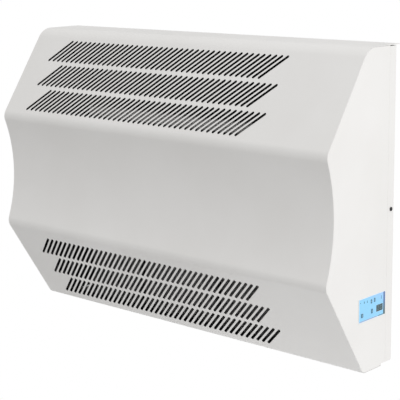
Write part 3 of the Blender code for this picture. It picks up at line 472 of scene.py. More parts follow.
def shade(obj, angle=50):
    """Smooth shading up to this angle, with each large flat face kept flat."""
    obj.data.shade_smooth()
    obj.data.set_sharp_from_angle(angle=math.radians(angle))
    obj.modifiers.new("flat_faces", "WEIGHTED_NORMAL").keep_sharp = True
    return obj


def stand_for(obj, node):
    """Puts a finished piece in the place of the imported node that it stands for."""
    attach(obj, BODY_OF[node])
    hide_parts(node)
    return obj


def made(build, node):
    bm = bmesh.new()
    build(bm, node)
    return bm


def piece(node, build, *looks, edge=0.0, angle=50, cut=None):
    """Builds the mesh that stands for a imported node, and carves out what cut builds."""
    obj = new_object(f"{node}_finished", made(build, node), looks or [SLOT_OF[node]])
    if edge:
        rounding = obj.modifiers.new("round_edges", "BEVEL")
        rounding.width = edge
        rounding.segments = 2
        rounding.limit_method = "ANGLE"
        rounding.angle_limit = math.radians(40)
    stand_for(shade(obj, angle), node)
    if cut:
        carve(obj, new_object(f"{node}_cutter", made(cut, node)))


def carve(obj, cutter):
    """Cuts a mesh out of a finished piece, ahead of its other modifiers."""
    others = list(obj.modifiers)
    sink = obj.modifiers.new("carve", "BOOLEAN")
    sink.object = cutter
    sink.operation = "DIFFERENCE"
    for modifier in others:
        modifier.show_viewport = False
    graph = bpy.context.evaluated_depsgraph_get()
    graph.update()
    obj.data = bpy.data.meshes.new_from_object(obj.evaluated_get(graph))
    obj.modifiers.remove(sink)
    for modifier in others:
        modifier.show_viewport = True
    bpy.data.objects.remove(cutter, do_unlink=True)


def side_of(node):
    """1 for a right-hand piece and -1 for a left-hand one."""
    return 1 if node.startswith("right") else -1


def extent(node):
    """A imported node's spans in x, in depth and in height."""
    low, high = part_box(node)
    return (low.x, high.x), (-high.y, -low.y), (low.z - BASE, high.z - BASE)


def middle_of(node):
    """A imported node's centre and half size."""
    low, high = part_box(node)
    return (low + high) / 2, (high - low) / 2


def foot_of(node, axis=UP):
    """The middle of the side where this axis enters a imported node."""
    centre, half = middle_of(node)
    return centre - Vector([a * h for a, h in zip(axis, half)])


def flat(point):
    """A point seen from the right, as (depth, height)."""
    return -point.y, point.z - BASE


def about(middle, half):
    """The span with this middle and half length."""
    return middle - half, middle + half


def loft(bm, loops, capped=True, material=0):
    """Quads through a row of loops of the same length, closed at both ends."""
    for first, second in zip(loops, loops[1:]):
        bridge(bm, first, second, material)
    if capped:
        for loop in (loops[0], loops[-1]):
            bm.faces.new(loop).material_index = material


def prism(bm, points, sweep, material=0):
    loft(bm, [add_loop(bm, points), add_loop(bm, [p + sweep for p in points])], True, material)


def block(bm, xs, depths, heights, material=0):
    """A box that fills three spans."""
    corners = [(xs[0], depths[0]), (xs[1], depths[0]), (xs[1], depths[1]), (xs[0], depths[1])]
    sweep = Vector((0, 0, heights[1] - heights[0]))
    prism(bm, [at(x, d, heights[0]) for x, d in corners], sweep, material)


def rod(radius, length):
    """A rod's profile."""
    return [(0, 0), (radius, 0), (radius, length), (0, length)]


def washer(inner, outer, start, end):
    """A flat ring's closed profile."""
    return [(inner, start), (outer, start), (outer, end), (inner, end)]


def thread(crest, root, start, pitch, rise, turns):
    """The profile of rings that stand for a thread."""
    profile = []
    for turn in range(turns):
        along = start + pitch * turn
        profile += [(crest, along), (root, along + rise)]
    return profile


def mirrored(profile):
    """A profile joined to its mirror image across the axis's zero."""
    return profile + [(radius, -along) for radius, along in reversed(profile)]


def soften(points, radius, closed=False, steps=3):
    """An outline with each of its corners rounded."""
    made = []
    for i, point in enumerate(points):
        if not closed and i in (0, len(points) - 1):
            made.append(point)
            continue
        before, after = points[i - 1], points[(i + 1) % len(points)]
        back, ahead = Vector(before) - Vector(point), Vector(after) - Vector(point)
        half = back.angle(ahead) / 2
        if half > math.radians(87):
            made.append(point)
            continue
        room = min(back.length, ahead.length) / 2.2 * math.tan(half)
        made += bend(before, point, after, min(radius, room), steps)
    return made


def turned(bm, profile, centre, axis, sides=48, ring=False, material=0):
    """Spins a profile of (radius, distance along the axis) right round.

    A ring's profile is closed. Any other starts and ends on the axis.
    """
    turn = Vector((0, 0, 1)).rotation_difference(Vector(axis)).to_matrix()
    loops = []
    for radius, along in profile:
        count = sides if radius > 1e-6 else 1
        angles = [2 * math.pi * i / sides for i in range(count)]
        spun = [Vector((radius * math.cos(a), radius * math.sin(a), along)) for a in angles]
        loops.append(add_loop(bm, [centre + turn @ p for p in spun]))
    if ring:
        loops.append(loops[0])
    for first, second in zip(loops, loops[1:]):
        if len(first) == len(second):
            bridge(bm, first, second, material)
            continue
        tip, round_loop = sorted((first, second), key=len)
        for i, vert in enumerate(round_loop):
            face = bm.faces.new((tip[0], round_loop[i - 1], vert))
            face.material_index = material


def tube(bm, points, radius, sides=16, material=0):
    """A round rod along a smooth line of points."""
    loops = []
    normal = None
    for i, point in enumerate(points):
        run = (points[min(i + 1, len(points) - 1)] - points[max(i - 1, 0)]).normalized()
        if normal is None:
            normal = run.orthogonal().normalized()
        normal = (normal - run * normal.dot(run)).normalized()
        side = run.cross(normal)
        angles = [2 * math.pi * k / sides for k in range(sides)]
        ring = [point + (normal * math.cos(a) + side * math.sin(a)) * radius for a in angles]
        loops.append(add_loop(bm, ring))
    loft(bm, loops, True, material)


# Finishes: name, two colours, roughness, and the settings of surface(). There is one for each
# of the record's slots, a few for print, and one of painted shade for inside faces.

NOISE_SPAN = (0.3, 0.7)
COLOUR_A, COLOUR_B, COLOUR_OUT = 6, 7, 2
METAL = {"metallic": 1.0, "height": 1e-5}
PRINT = {"grain": 1800, "height": 8e-6}
FINISHES = {
    "casing_paint": (
        "white_powder_coat", (0.795, 0.783, 0.765), (0.825, 0.815, 0.800), (0.36, 0.44),
        {"patch": 5, "grain": 700, "height": 4e-5},
    ),
    # Painted shade: near-black on the front sheet's inside face and slot walls, so the slots read as
    # shadow.
    "painted_shade_inside": (
        "painted_shade_inside_coat", (0.010, 0.010, 0.011), (0.018, 0.018, 0.019), (0.60, 0.75),
        {"grain": 500, "height": 4e-5},
    ),
    "inner_sheet": (
        "galvanised_sheet", (0.50, 0.51, 0.53), (0.60, 0.61, 0.63), (0.34, 0.46),
        {"grain": 500, "cells": 110, **METAL},
    ),
    # Partly the real black of small parts, partly painted shade: the inner sheets seen through the slots
    # are made near-black.
    "black_sheet": (
        "black_stoved_sheet_and_painted_shade", (0.012, 0.012, 0.013), (0.022, 0.022, 0.024), (0.50, 0.65),
        {"grain": 600, "height": 4e-5},
    ),
    "bright_steel": (
        "bright_zinc", (0.52, 0.53, 0.56), (0.66, 0.66, 0.68), (0.20, 0.34),
        {"patch": 300, "grain": 2500, "stretch": (1, 1, 6), **METAL},
    ),
    "copper": (
        "drawn_copper", (0.60, 0.26, 0.15), (0.80, 0.42, 0.28), (0.22, 0.42),
        {"patch": 40, "grain": 1800, "stretch": (0.15, 1, 1), **METAL},
    ),
    "brass": (
        "machined_brass", (0.62, 0.46, 0.20), (0.80, 0.64, 0.33), (0.20, 0.36),
        {"patch": 90, "grain": 2600, "stretch": (1, 1, 8), **METAL},
    ),
    "fins": (
        "aluminium_fins", (0.38, 0.39, 0.40), (0.50, 0.51, 0.52), (0.30, 0.46),
        {"patch": 30, "grain": 1500, **METAL},
    ),
    "rubber": (
        "black_rubber", (0.018, 0.018, 0.018), (0.035, 0.034, 0.033), (0.70, 0.90),
        {"patch": 60, "grain": 1600, "height": 3e-5},
    ),
    "black_plastic": (
        "grained_black_plastic", (0.012, 0.012, 0.013), (0.022, 0.022, 0.024), (0.42, 0.58),
        {"patch": 50, "grain": 2200, "height": 4e-5},
    ),
    "impeller_plastic": (
        "glass_filled_nylon", (0.060, 0.062, 0.066), (0.100, 0.102, 0.108), (0.42, 0.60),
        {"patch": 120, "grain": 1800, "height": 3e-5},
    ),
    "motor_paint": (
        "motor_enamel", (0.040, 0.043, 0.047), (0.066, 0.070, 0.075), (0.34, 0.50),
        {"patch": 50, "grain": 700, "height": 8e-5},
    ),
    # Near-black mesh, partly painted shade: it keeps what shows through the lower slots dark.
    "filter_mesh": (
        "nylon_filter_mesh_painted_shade", (0.010, 0.010, 0.011), (0.024, 0.024, 0.026), (0.45, 0.65),
        {"patch": 200, "grain": 3000},
    ),
    # Near-black foam, partly painted shade: it keeps what shows through the upper slots dark.
    "foam": (
        "open_cell_foam_painted_shade", (0.006, 0.006, 0.006), (0.020, 0.020, 0.021), (0.90, 1.00),
        {"patch": 400, "grain": 900, "height": 6e-4},
    ),
    "overlay_blue": (
        "printed_blue", (0.29, 0.66, 0.97), (0.40, 0.58, 0.97), (0.30, 0.38),
        {"fade": ((0, 0.35, 1), 0.135, 0.175), **PRINT},
    ),
    "overlay_white": (
        "film_border", (0.86, 0.88, 0.89), (0.90, 0.92, 0.93), (0.26, 0.32), {"patch": 40, **PRINT},
    ),
    "overlay_band": (
        "printed_dark_band", (0.055, 0.115, 0.115), (0.11, 0.20, 0.42), (0.28, 0.36),
        {"fade": ((0, 0, 1), 0.135, 0.165), **PRINT},
    ),
    "overlay_line": (
        "printed_grey_line", (0.30, 0.32, 0.50), (0.38, 0.38, 0.56), (0.30, 0.38),
        {"patch": 60, **PRINT},
    ),
    "overlay_marks": (
        "printed_marks", (0.030, 0.130, 0.200), (0.045, 0.170, 0.250), (0.30, 0.38),
        {"patch": 120, **PRINT},
    ),
    "key_plastic": (
        "key_caps", (0.050, 0.190, 0.300), (0.070, 0.240, 0.360), (0.30, 0.42),
        {"patch": 150, "grain": 2600, "height": 1.5e-5},
    ),
    "display_glass": (
        "dark_display_window", (0.010, 0.045, 0.060), (0.018, 0.060, 0.078), (0.04, 0.09),
        {"patch": 40, "grain": 300, "height": 2e-6, "extra": {"Coat Weight": 0.6}},
    ),
    "display_digits": (
        "unlit_digits", (0.10, 0.24, 0.27), (0.14, 0.30, 0.33), (0.30, 0.40),
        {"patch": 400, "grain": 2000, "height": 4e-6},
    ),
    "circuit_board": (
        "solder_mask", (0.008, 0.075, 0.028), (0.018, 0.140, 0.055), (0.26, 0.38),
        {"patch": 260, "grain": 900, "height": 3e-5},
    ),
    "terminal_plastic": (
        "cream_polyamide", (0.66, 0.62, 0.53), (0.76, 0.73, 0.65), (0.42, 0.55),
        {"patch": 50, "grain": 2000, "height": 3e-5},
    ),
    "transformer_iron": (
        "varnished_laminations", (0.050, 0.040, 0.033), (0.120, 0.100, 0.085), (0.35, 0.55),
        {"metallic": 0.5, "patch": 60, "grain": 900, "height": 1.5e-4, "stretch": (1.6, 0.02, 0.02)},
    ),
    "red_plastic": (
        "red_button", (0.46, 0.020, 0.014), (0.60, 0.036, 0.024), (0.30, 0.42),
        {"patch": 200, "grain": 2600, "height": 2e-5},
    ),
    "cable_sheath": (
        "pvc_sheath", (0.016, 0.016, 0.017), (0.028, 0.028, 0.030), (0.38, 0.52),
        {"patch": 80, "grain": 1500, "height": 3e-5},
    ),
    "winding": (
        "enamelled_wire", (0.42, 0.15, 0.06), (0.62, 0.26, 0.11), (0.25, 0.40),
        {"metallic": 0.8, "patch": 120, "grain": 1400, "height": 2e-4, "stretch": (0.05, 0.05, 1.6)},
    ),
}


def set_inputs(tree, shader_node, inputs):
    """Sets or links a shader node's inputs, which are given by name or by number."""
    for name, value in inputs.items():
        socket = shader_node.inputs[name]
        if isinstance(value, bpy.types.NodeSocket):
            tree.links.new(value, socket)
        else:
            socket.default_value = value


def add_node(tree, kind, inputs, **settings):
    new = tree.nodes.new("ShaderNode" + kind)
    for name, value in settings.items():
        setattr(new, name, value)
    set_inputs(tree, new, inputs)
    return new


def remap(tree, value, source, target):
    """A value stretched from one range to another."""
    ends = {"From Min": source[0], "From Max": source[1], "To Min": target[0], "To Max": target[1]}
    return add_node(tree, "MapRange", {"Value": value, **ends}).outputs["Result"]


def surface(name, first, second, roughness, metallic=0.0, patch=6.0, grain=900.0, height=2e-5,
            stretch=(1, 1, 1), cells=0.0, fade=None, extra=None):
    """A finish whose colour and roughness drift in soft patches, under a fine grain.

    Patch and grain are patterns per metre, height is the grain's depth in metres, stretch
    draws the grain out, and cells adds crystal spangle, also per metre. A fade changes the
    colour evenly along a direction, from one height over the casing's base to another.
    """
    material = bpy.data.materials.new(name)
    material.use_nodes = True
    tree = material.node_tree
    place = add_node(tree, "TexCoord", {}).outputs["Object"]
    noise = add_node(tree, "TexNoise", {"Vector": place, "Scale": patch, "Detail": 3.0})
    drift = noise.outputs["Fac"]
    if cells:
        spangle = add_node(tree, "TexVoronoi", {"Vector": place, "Scale": cells})
        drift = add_node(tree, "SeparateColor", {"Color": spangle.outputs["Color"]}).outputs["Red"]
    if fade:
        way, start, end = fade
        along = add_node(tree, "VectorMath", {0: place, 1: way}, operation="DOT_PRODUCT")
        drift = remap(tree, along.outputs["Value"], (BASE + start, BASE + end), NOISE_SPAN)
    ends = {COLOUR_A: (*first, 1), COLOUR_B: (*second, 1)}
    share = remap(tree, drift, NOISE_SPAN, (0, 1))
    colour = add_node(tree, "Mix", {"Factor": share, **ends}, data_type="RGBA")
    drawn = add_node(tree, "Mapping", {"Vector": place, "Scale": stretch}).outputs["Vector"]
    fine = add_node(tree, "TexNoise", {"Vector": drawn, "Scale": grain, "Detail": 2.0})
    relief = {"Height": fine.outputs["Fac"], "Distance": height, "Strength": 1.0}
    set_inputs(tree, tree.nodes["Principled BSDF"], {
        "Base Color": colour.outputs[COLOUR_OUT],
        "Roughness": remap(tree, drift, NOISE_SPAN, roughness),
        "Normal": add_node(tree, "Bump", relief).outputs["Normal"],
        "Metallic": metallic,
        **(extra or {}),
    })
    return material


def finish(slot):
    """A finish from the table, made when it's first asked for."""
    name, first, second, roughness, settings = FINISHES[slot]
    ready = bpy.data.materials.get(name)
    return ready or surface(name, first, second, roughness, **settings)


# Casing


def slot_loops(back):
    """Plane points (x, distance down the slope) of every slot of one slope, grown by back."""
    along = (math.sin(SLOT_LEAN), -math.cos(SLOT_LEAN))
    half = SLOT_WIDTH / 2
    loops = []
    for row in range(SLOT_ROWS):
        for column in range(SLOTS_IN_ROW):
            centre = (
                SLOT_CENTRE_X + SLOT_PITCH * (column - (SLOTS_IN_ROW - 1) / 2),
                SLOT_CENTRE_DOWN + SLOT_ROW_PITCH * (row - (SLOT_ROWS - 1) / 2),
            )
            loops.append(rounded(centre, along, SLOT_LENGTH / 2, half, half, back, 4))
    return loops


def slide_loops(back):
    """Plane points (x, depth reversed) of the filter's slot in the base return."""
    left, right = extent("filter_frame")[0]
    near, far = SLIDE_SLOT
    half = ((right - left) / 2 + SLIDE_GAP, (far - near) / 2)
    centre = ((left + right) / 2, -(near + far) / 2)
    return [rounded(centre, (1, 0), *half, SLIDE_CORNER, back, 3)]


def perforate(bm, skins, far, near, loops_of):
    """Fills a flat run's outer and inner skins round its holes, which get rounded rims."""
    down = (Vector(near) - Vector(far)).normalized()
    inward = Vector((down.y, -down.x))
    rings = []
    for back, deep in rim_steps(SHEET, RIM):
        start = Vector(far) + inward * deep
        loops = [[at(x, *(start + down * v)) for x, v in loop] for loop in loops_of(back)]
        rings.append([add_loop(bm, loop) for loop in loops])
    # Past the outer rounding, the holes' walls take the second finish, which on the front sheet is
    # painted shade.
    for number, (near_ring, far_ring) in enumerate(zip(rings, rings[1:])):
        for first, second in zip(near_ring, far_ring):
            bridge(bm, first, second, min(number, 1))
    start = at(0, *far)
    slope = at(0, *(Vector(far) + down)) - start
    for material, (corners, holes) in enumerate(zip(skins, (rings[0], rings[-1]))):
        fill(bm, [corners, *holes], lambda co: (co.x, (co - start).dot(slope)), material)


def front_wrap():
    """One bent sheet with rounded cut edges, its slots, and the filter's slot."""
    outer, flats = casing_outline()
    holes = dict(zip(flats, (
        (TOP_CORNER, UPPER_RIDGE, slot_loops),
        (LOWER_RIDGE, BASE_CORNER, slot_loops),
        ((0.0, 0.0), (-1.0, 0.0), slide_loops),
    )))
    across = [(SIDE - back, deep / SHEET) for back, deep in rim_steps(SHEET, RIM)]
    across += [(-x, share) for x, share in reversed(across)]
    last = len(across) - 1
    middle = last // 2
    bm = bmesh.new()
    ribs = []
    for (d0, z0), (d1, z1) in zip(outer, inset(outer, SHEET)):
        rib = [at(x, d0 + (d1 - d0) * share, z0 + (z1 - z0) * share) for x, share in across]
        ribs.append(add_loop(bm, rib))
    for number, (first, second) in enumerate(zip(ribs, ribs[1:])):
        bridge(bm, first, second, 0, (middle, last))
        ends = ((last, 0), (middle, middle + 1))
        skins = [[first[a], first[b], second[b], second[a]] for a, b in ends]
        if number in holes:
            perforate(bm, skins, *holes[number])
            continue
        for material, corners in enumerate(skins):
            bm.faces.new(corners).material_index = material
    for rib in (ribs[0], ribs[-1]):
        bm.faces.new(rib)
    # Its second finish is painted shade: near-black on the inside face and the slot walls.
    obj = new_object("front_sheet", bm, ["casing_paint", "painted_shade_inside"])
    stand_for(shade(obj), "front_wrap")


def no_holes(back):
    return []


def plate(bm, outline, face, thickness, rim, material=0, holes_of=no_holes, side=1):
    """A flat sheet across X with rounded cut edges, whose face looks to this side.

    The outline is clockwise, as (depth, height), and holes_of(back) gives its holes, grown
    by back.
    """
    rings = []
    for back, deep in rim_steps(thickness, rim):
        loops = [inset(outline, back, True)] + holes_of(back)
        rings.append([add_loop(bm, [at(face - side * deep, *p) for p in loop]) for loop in loops])
    for first, second in zip(rings, rings[1:]):
        for a, b in zip(first, second):
            bridge(bm, a, b, material)
    for loops in (rings[0], rings[-1]):
        fill(bm, loops, flat, material)


def side_outline():
    """The side panel's own edge: inside the wrap, notched at its lower back corner."""
    outer, _ = casing_outline()
    seam = SEAM_DEPTH + GAP
    return [
        (seam, HEIGHT - SHEET - GAP), *inset(outer, SHEET + GAP)[1:-1],
        (RETURN_DEPTH, SHEET + GAP), (RETURN_DEPTH, NOTCH_HEIGHT), (seam, NOTCH_HEIGHT),
    ]


def control_holes(back):
    """The holes for the display and for the keys, whose flanges behind are wider than they."""
    loops = []
    for node, grow in (("display_lens", GAP), *((key, -KEY_FLANGE) for key in KEYS)):
        centre, half = middle_of(node)
        size = (half.y + grow, half.z + grow)
        loops.append(rounded(flat(centre), (1, 0), *size, PRINT_CORNER, back, 3))
    return loops


def tongue(bm, side, heights):
    """The joggled flange that reaches behind the rear pan's side flange."""
    skin = SIDE - SHEET
    back = skin - GAP
    seam = SEAM_DEPTH + 2 * GAP
    step = SHEET * 0.6
    start = PAN_FACE + 0.004
    end = seam + TONGUE_REACH
    outline = [
        (back, start), (back, seam - step), (back + step, seam), (skin, seam + step),
        (skin, end), (skin - SHEET, end), (skin - SHEET, seam + step),
        (back - SHEET + step, seam), (back - SHEET, seam - step), (back - SHEET, start),
    ]
    loft(bm, [add_loop(bm, [at(side * x, d, z) for x, d in outline]) for z in heights])


def side_panel(node):
    side = side_of(node)
    bm = bmesh.new()
    holes_of = control_holes if side > 0 else no_holes
    plate(bm, side_outline(), side * SIDE, SHEET, RIM, 0, holes_of, side)
    for heights in TONGUES:
        tongue(bm, side, heights)
    stand_for(shade(new_object(f"{node}_sheet", bm, ["casing_paint"])), node)


def packed_shape(bm, node):
    """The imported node's own shape, without the edges that cross its flat faces."""
    bm.from_mesh(frame["nodes"][node].data)
    bmesh.ops.remove_doubles(bm, verts=bm.verts, dist=1e-6)
    bmesh.ops.dissolve_limit(
        bm, angle_limit=math.radians(1), verts=bm.verts, edges=bm.edges,
        use_dissolve_boundaries=False,
    )


def rear_pan(bm, node):
    """Tray with round bends up its rear corners and a flange along its top."""
    front, skin = SEAM_DEPTH, SIDE - SHEET
    outside = [(-SIDE, front), (-SIDE, PAN_DEPTH), (SIDE, PAN_DEPTH), (SIDE, front)]
    inside = [(skin, front), (skin, PAN_FACE), (-skin, PAN_FACE), (-skin, front)]
    outline = soften(outside, PAN_BEND + SHEET, steps=6) + soften(inside, PAN_BEND, steps=6)
    prism(bm, [at(x, d, PAN_BOTTOM) for x, d in outline], Vector((0, 0, PAN_TOP - PAN_BOTTOM)))
    top = PAN_TOP - GAP
    block(bm, about(0, skin - 2 * GAP), (PAN_DEPTH + GAP, TOP_FLANGE_DEPTH), (top - SHEET, top))


def pan_bores(bm, node):
    """What is drilled out of the pan's side flanges for the casing screws."""
    for side in (-1, 1):
        start = at(side * (SIDE - 0.004), SCREW_DEPTH, SCREW_HEIGHT)
        turned(bm, rod(SCREW_BORE, 0.006), start, (side, 0, 0), 24)


def screw_seat(node):
    """Where a casing screw's head meets the panel."""
    centre, _ = middle_of(node)
    return Vector((side_of(node) * (SIDE + GAP), centre.y, centre.z))


def casing_screw(bm, node):
    """Pan-head screw with a pointed, threaded shank."""
    profile = [*SCREW_TIP, *thread(*SCREW_THREAD), (0.0020, 0), *soften(SCREW_HEAD, 0.0008)]
    turned(bm, profile, screw_seat(node), (side_of(node), 0, 0), 40)


def cross_recess(bm, node):
    """What is sunk into a casing screw's head, tapering inwards."""
    arm = ((CROSS_LONG, -CROSS_HALF), (CROSS_LONG, CROSS_HALF), (CROSS_HALF, CROSS_HALF))
    turns = [Matrix.Rotation(math.pi / 2 * quarter, 2) for quarter in range(4)]
    cross = [turn @ Vector(corner) for turn in turns for corner in arm]
    loops = []
    for out, size in ((0.006, 1), (0.0009, 0.6)):
        offsets = [Vector((side_of(node) * out, *(corner * size))) for corner in cross]
        loops.append(add_loop(bm, [screw_seat(node) + offset for offset in offsets]))
    loft(bm, loops)


# Controls


def rectangle(depths, heights, radius):
    """A clockwise (depth, height) rectangle with round corners."""
    centre = (sum(depths) / 2, sum(heights) / 2)
    half = (abs(depths[1] - depths[0]) / 2, abs(heights[1] - heights[0]) / 2)
    points = rounded(centre, (1, 0), *half, min(radius, *half), 0, 4)
    return [tuple(p) for p in reversed(points)]


def print_on(bm, face, outline, material, holes_of=no_holes):
    """A thin layer of ink."""
    plate(bm, outline, face, INK, INK / 3, material, holes_of)


def field_holes(back):
    """Holes in the ink, a little wider than those in the film."""
    return control_holes(back + 0.0002)


def control_overlay(bm, node):
    """White film with a light blue field, a dark band at its wall end and small marks."""
    (low, high), (wall_end, room_end), (foot, top) = extent(node)
    face = high - 2 * INK
    film = rectangle((wall_end, room_end), (foot, top), FILM_CORNER)
    plate(bm, film, face, face - low, 0.0001, 0, control_holes)
    inner = (foot + FILM_BORDER, top - FILM_BORDER)
    start = wall_end + FILM_BORDER
    split = start + BAND_WIDTH
    end = room_end - FILM_BORDER
    print_on(bm, face + INK, rectangle((split, end), inner, PRINT_CORNER), 1, field_holes)
    print_on(bm, face + INK, rectangle((start, split), inner, PRINT_CORNER), 2)
    line = [inner[0] + z for z in LINE_SPAN]
    near, far = LINE_SPLIT
    print_on(bm, high, rectangle((split + far, end - 0.001), line, 0.0004), 3)
    print_on(bm, high, rectangle((split + 0.001, split + near), line, 0.0004), 4)
    head = top - LEGENDS_DOWN
    for depth, wide, tall in LEGENDS:
        print_on(bm, high, rectangle(about(depth, wide / 2), (head - tall, head), 0.0006), 4)


def digit(bm, lit, depth, height, face):
    """One seven-segment figure. Its segments run from the top, clockwise, to the middle one."""
    wide, half, thin = DIGIT_WIDTH / 2, DIGIT_HEIGHT / 4, SEGMENT / 2
    lying, standing = (wide - thin, thin), (thin, half - thin)
    bars = {
        "a": (0, 2 * half, lying), "b": (-wide, half, standing), "c": (-wide, -half, standing),
        "d": (0, -2 * half, lying), "e": (wide, -half, standing), "f": (wide, half, standing),
        "g": (0, 0, lying),
    }
    for name in lit:
        d, z, (deep, tall) = bars[name]
        outline = rectangle(about(depth + d, deep), about(height + z, tall), thin * 0.6)
        print_on(bm, face, outline, 1)


def display(bm, node):
    """Dark window with two unlit figures on its face."""
    (low, high), depths, heights = extent(node)
    face = high - INK
    plate(bm, rectangle(depths, heights, PRINT_CORNER), face, face - low, 0.0003)
    for lit, offset in DIGITS:
        digit(bm, lit, sum(depths) / 2 + offset, sum(heights) / 2, high)


def chevron(way):
    """A clockwise arrow head that points up (1) or down (-1), within a unit square."""
    points = [(-0.55, -0.3), (0, 0.35), (0.55, -0.3), (0.55, -0.05), (0, 0.6), (-0.55, -0.05)]
    flipped = [(d, way * z) for d, z in points]
    return flipped[::-1] if way > 0 else flipped


def bar(d, z, half_deep, half_tall):
    return rectangle(about(d, half_deep), about(z, half_tall), 0.1)


MARKS = {
    "power_key": [bar(0, 0.15, 0.08, 0.45), bar(0, -0.5, 0.35, 0.08)],
    "set_key": [bar(0, 0, 0.22, 0.22)],
    "up_key": [chevron(1)],
    "down_key": [chevron(-1)],
}


def key(bm, node):
    """Cap with a soft crown on a retaining flange, with a small moulded mark."""
    centre, half = middle_of(node)
    (foot, top), depths, heights = extent(node)
    depth, height = flat(centre)
    flange = SIDE - SHEET - GAP
    size = [side - KEY_FLANGE - GAP for side in (half.y, half.z)]
    loops = []
    for back, deep in [*KEY_CROWN, (0.0, top - flange)]:
        points = rounded((depth, height), (1, 0), *size, KEY_CORNER, -back, 5)
        loops.append(add_loop(bm, [at(top - INK - deep, *p) for p in points]))
    loft(bm, loops)
    plate(bm, rectangle(depths, heights, KEY_CORNER), flange, KEY_FLANGE_SHEET, 0.0002)
    block(bm, (foot, flange), about(depth, KEY_STEM), about(height, KEY_STEM))
    scale = min(size)
    for points in MARKS[node]:
        outline = [(depth + scale * d, height + scale * z) for d, z in points]
        plate(bm, outline, top, 2 * INK, INK / 3, 1)


def chip(bm, face, depth, height, wide, tall):
    """A chip with a row of legs up each side."""
    block(bm, (face, face + CHIP_HEIGHT), about(depth, wide / 2), about(height, tall / 2), 1)
    for leg in range(CHIP_LEGS):
        z = height - tall / 2 + tall * (leg + 0.5) / CHIP_LEGS
        for side in (-1, 1):
            d = depth + side * (wide / 2 + LEG_REACH)
            block(bm, (face, face + LEG_RISE), about(d, LEG_REACH), about(z, LEG_HALF), 3)


def control_board(bm, node):
    """Board with its key switches, two chips and a row of small parts."""
    (board, top), depths, heights = extent(node)
    face = board + BOARD_SHEET
    block(bm, (board, face), depths, heights)
    stem = soften(rod(STEM_RADIUS, top - face), 0.0003)
    for switch in KEYS:
        depth, height = flat(middle_of(switch)[0])
        body = about(depth, SWITCH_HALF), about(height, SWITCH_HALF)
        block(bm, (face, face + SWITCH_RISE), *body, 1)
        turned(bm, stem, at(face, depth, height), RIGHT, 20, False, 2)
    for place in CHIPS:
        chip(bm, face, *place)
    for i in range(SMALL_PARTS):
        place = [depth + SMALL_PART_PITCH * i for depth in SMALL_PART_DEPTHS]
        material = 2 if i % 3 else 3
        block(bm, (face, face + SMALL_PART_RISE), place, SMALL_PART_HEIGHTS, material)


# Heat exchanger and pipes


def coil_fins(bm, node):
    """A stack of thin fins, each pierced by the ten passes of the tube."""
    (left, right), (back, front), (low, high) = extent(node)
    run = right - left - FIN_SHEET
    count = round(run / FIN_PITCH)
    outline = [(back, low), (back, high), (front, high), (front, low)]
    bore = [TUBE_RADIUS + GAP] * 3
    bores = [rounded((d, z), (1, 0), *bore, 0, 2) for d in PASS_DEPTHS for z in PASS_HEIGHTS]
    faces = []
    for x in (left, left + FIN_SHEET):
        loops = [add_loop(bm, [at(x, *p) for p in loop]) for loop in (outline, *bores)]
        faces.append(loops)
        fill(bm, loops, flat)
    for first, second in zip(*faces):
        bridge(bm, first, second)
    fin = bm.verts[:] + bm.edges[:] + bm.faces[:]
    for number in range(1, count + 1):
        copied = bmesh.ops.duplicate(bm, geom=fin)["geom"]
        verts = [g for g in copied if isinstance(g, bmesh.types.BMVert)]
        bmesh.ops.translate(bm, verts=verts, vec=Vector((number * run / count, 0, 0)))


def coil_tube(bm, node):
    """The long copper tube, with its passes and round return bends."""
    left, right = extent("coil_fin_block")[0]
    ends = {1: right + RETURN_BEND_OUT, -1: left - RETURN_BEND_OUT}
    route = [(d, PASS_HEIGHTS[0]) for d in PASS_DEPTHS]
    route += [(d, PASS_HEIGHTS[1]) for d in reversed(PASS_DEPTHS)]
    inlet, outlet = (extent(f"{pipe}_riser")[0][1] + GAP for pipe in ("return", "flow"))
    points = [at(inlet, *route[0])]
    side = 1
    steps = 16
    for here, ahead in zip(route, route[1:]):
        start, end = at(ends[side], *here), at(ends[side], *ahead)
        middle = (start + end) / 2
        outward = Vector((side * (end - start).length / 2, 0, 0))
        for step in range(steps + 1):
            a = math.pi * step / steps
            points.append(middle + (start - middle) * math.cos(a) + outward * math.sin(a))
        side = -side
    points.append(at(outlet, *route[-1]))
    tube(bm, points, TUBE_RADIUS, 20)


def riser(bm, node):
    """Copper pipe with a rounded, spun-closed top."""
    _, half = middle_of(node)
    radius, length = half.x, 2 * half.z
    inner, lower = radius - RISER_ROUND, length - RISER_ROUND
    top = arc((inner, lower), (radius, lower), (inner, length), 6)
    turned(bm, [(0, 0), (radius, 0), *top, (0, length)], foot_of(node), UP)


def hexagon(bm, centre, across, low, high, bore):
    """A chamfered hexagon with a bore, as loops from its lower bore edge to its upper one."""
    sides = 36
    chamfer = 0.0008
    face = across / 2
    corner = face / math.cos(math.pi / 6)
    levels = (low, 0), (low, face), (low + chamfer, corner), (high - chamfer, corner)
    loops = []
    for z, limit in (*levels, (high, face), (high, 0)):
        ring = []
        for i in range(sides):
            a = 2 * math.pi * i / sides
            nearest = a % (math.pi / 3) - math.pi / 6
            radius = min(limit, face / math.cos(nearest)) if limit else bore
            ring.append(centre + Vector((radius * math.cos(a), radius * math.sin(a), z)))
        loops.append(add_loop(bm, ring))
    loft(bm, loops + [loops[0]], False)


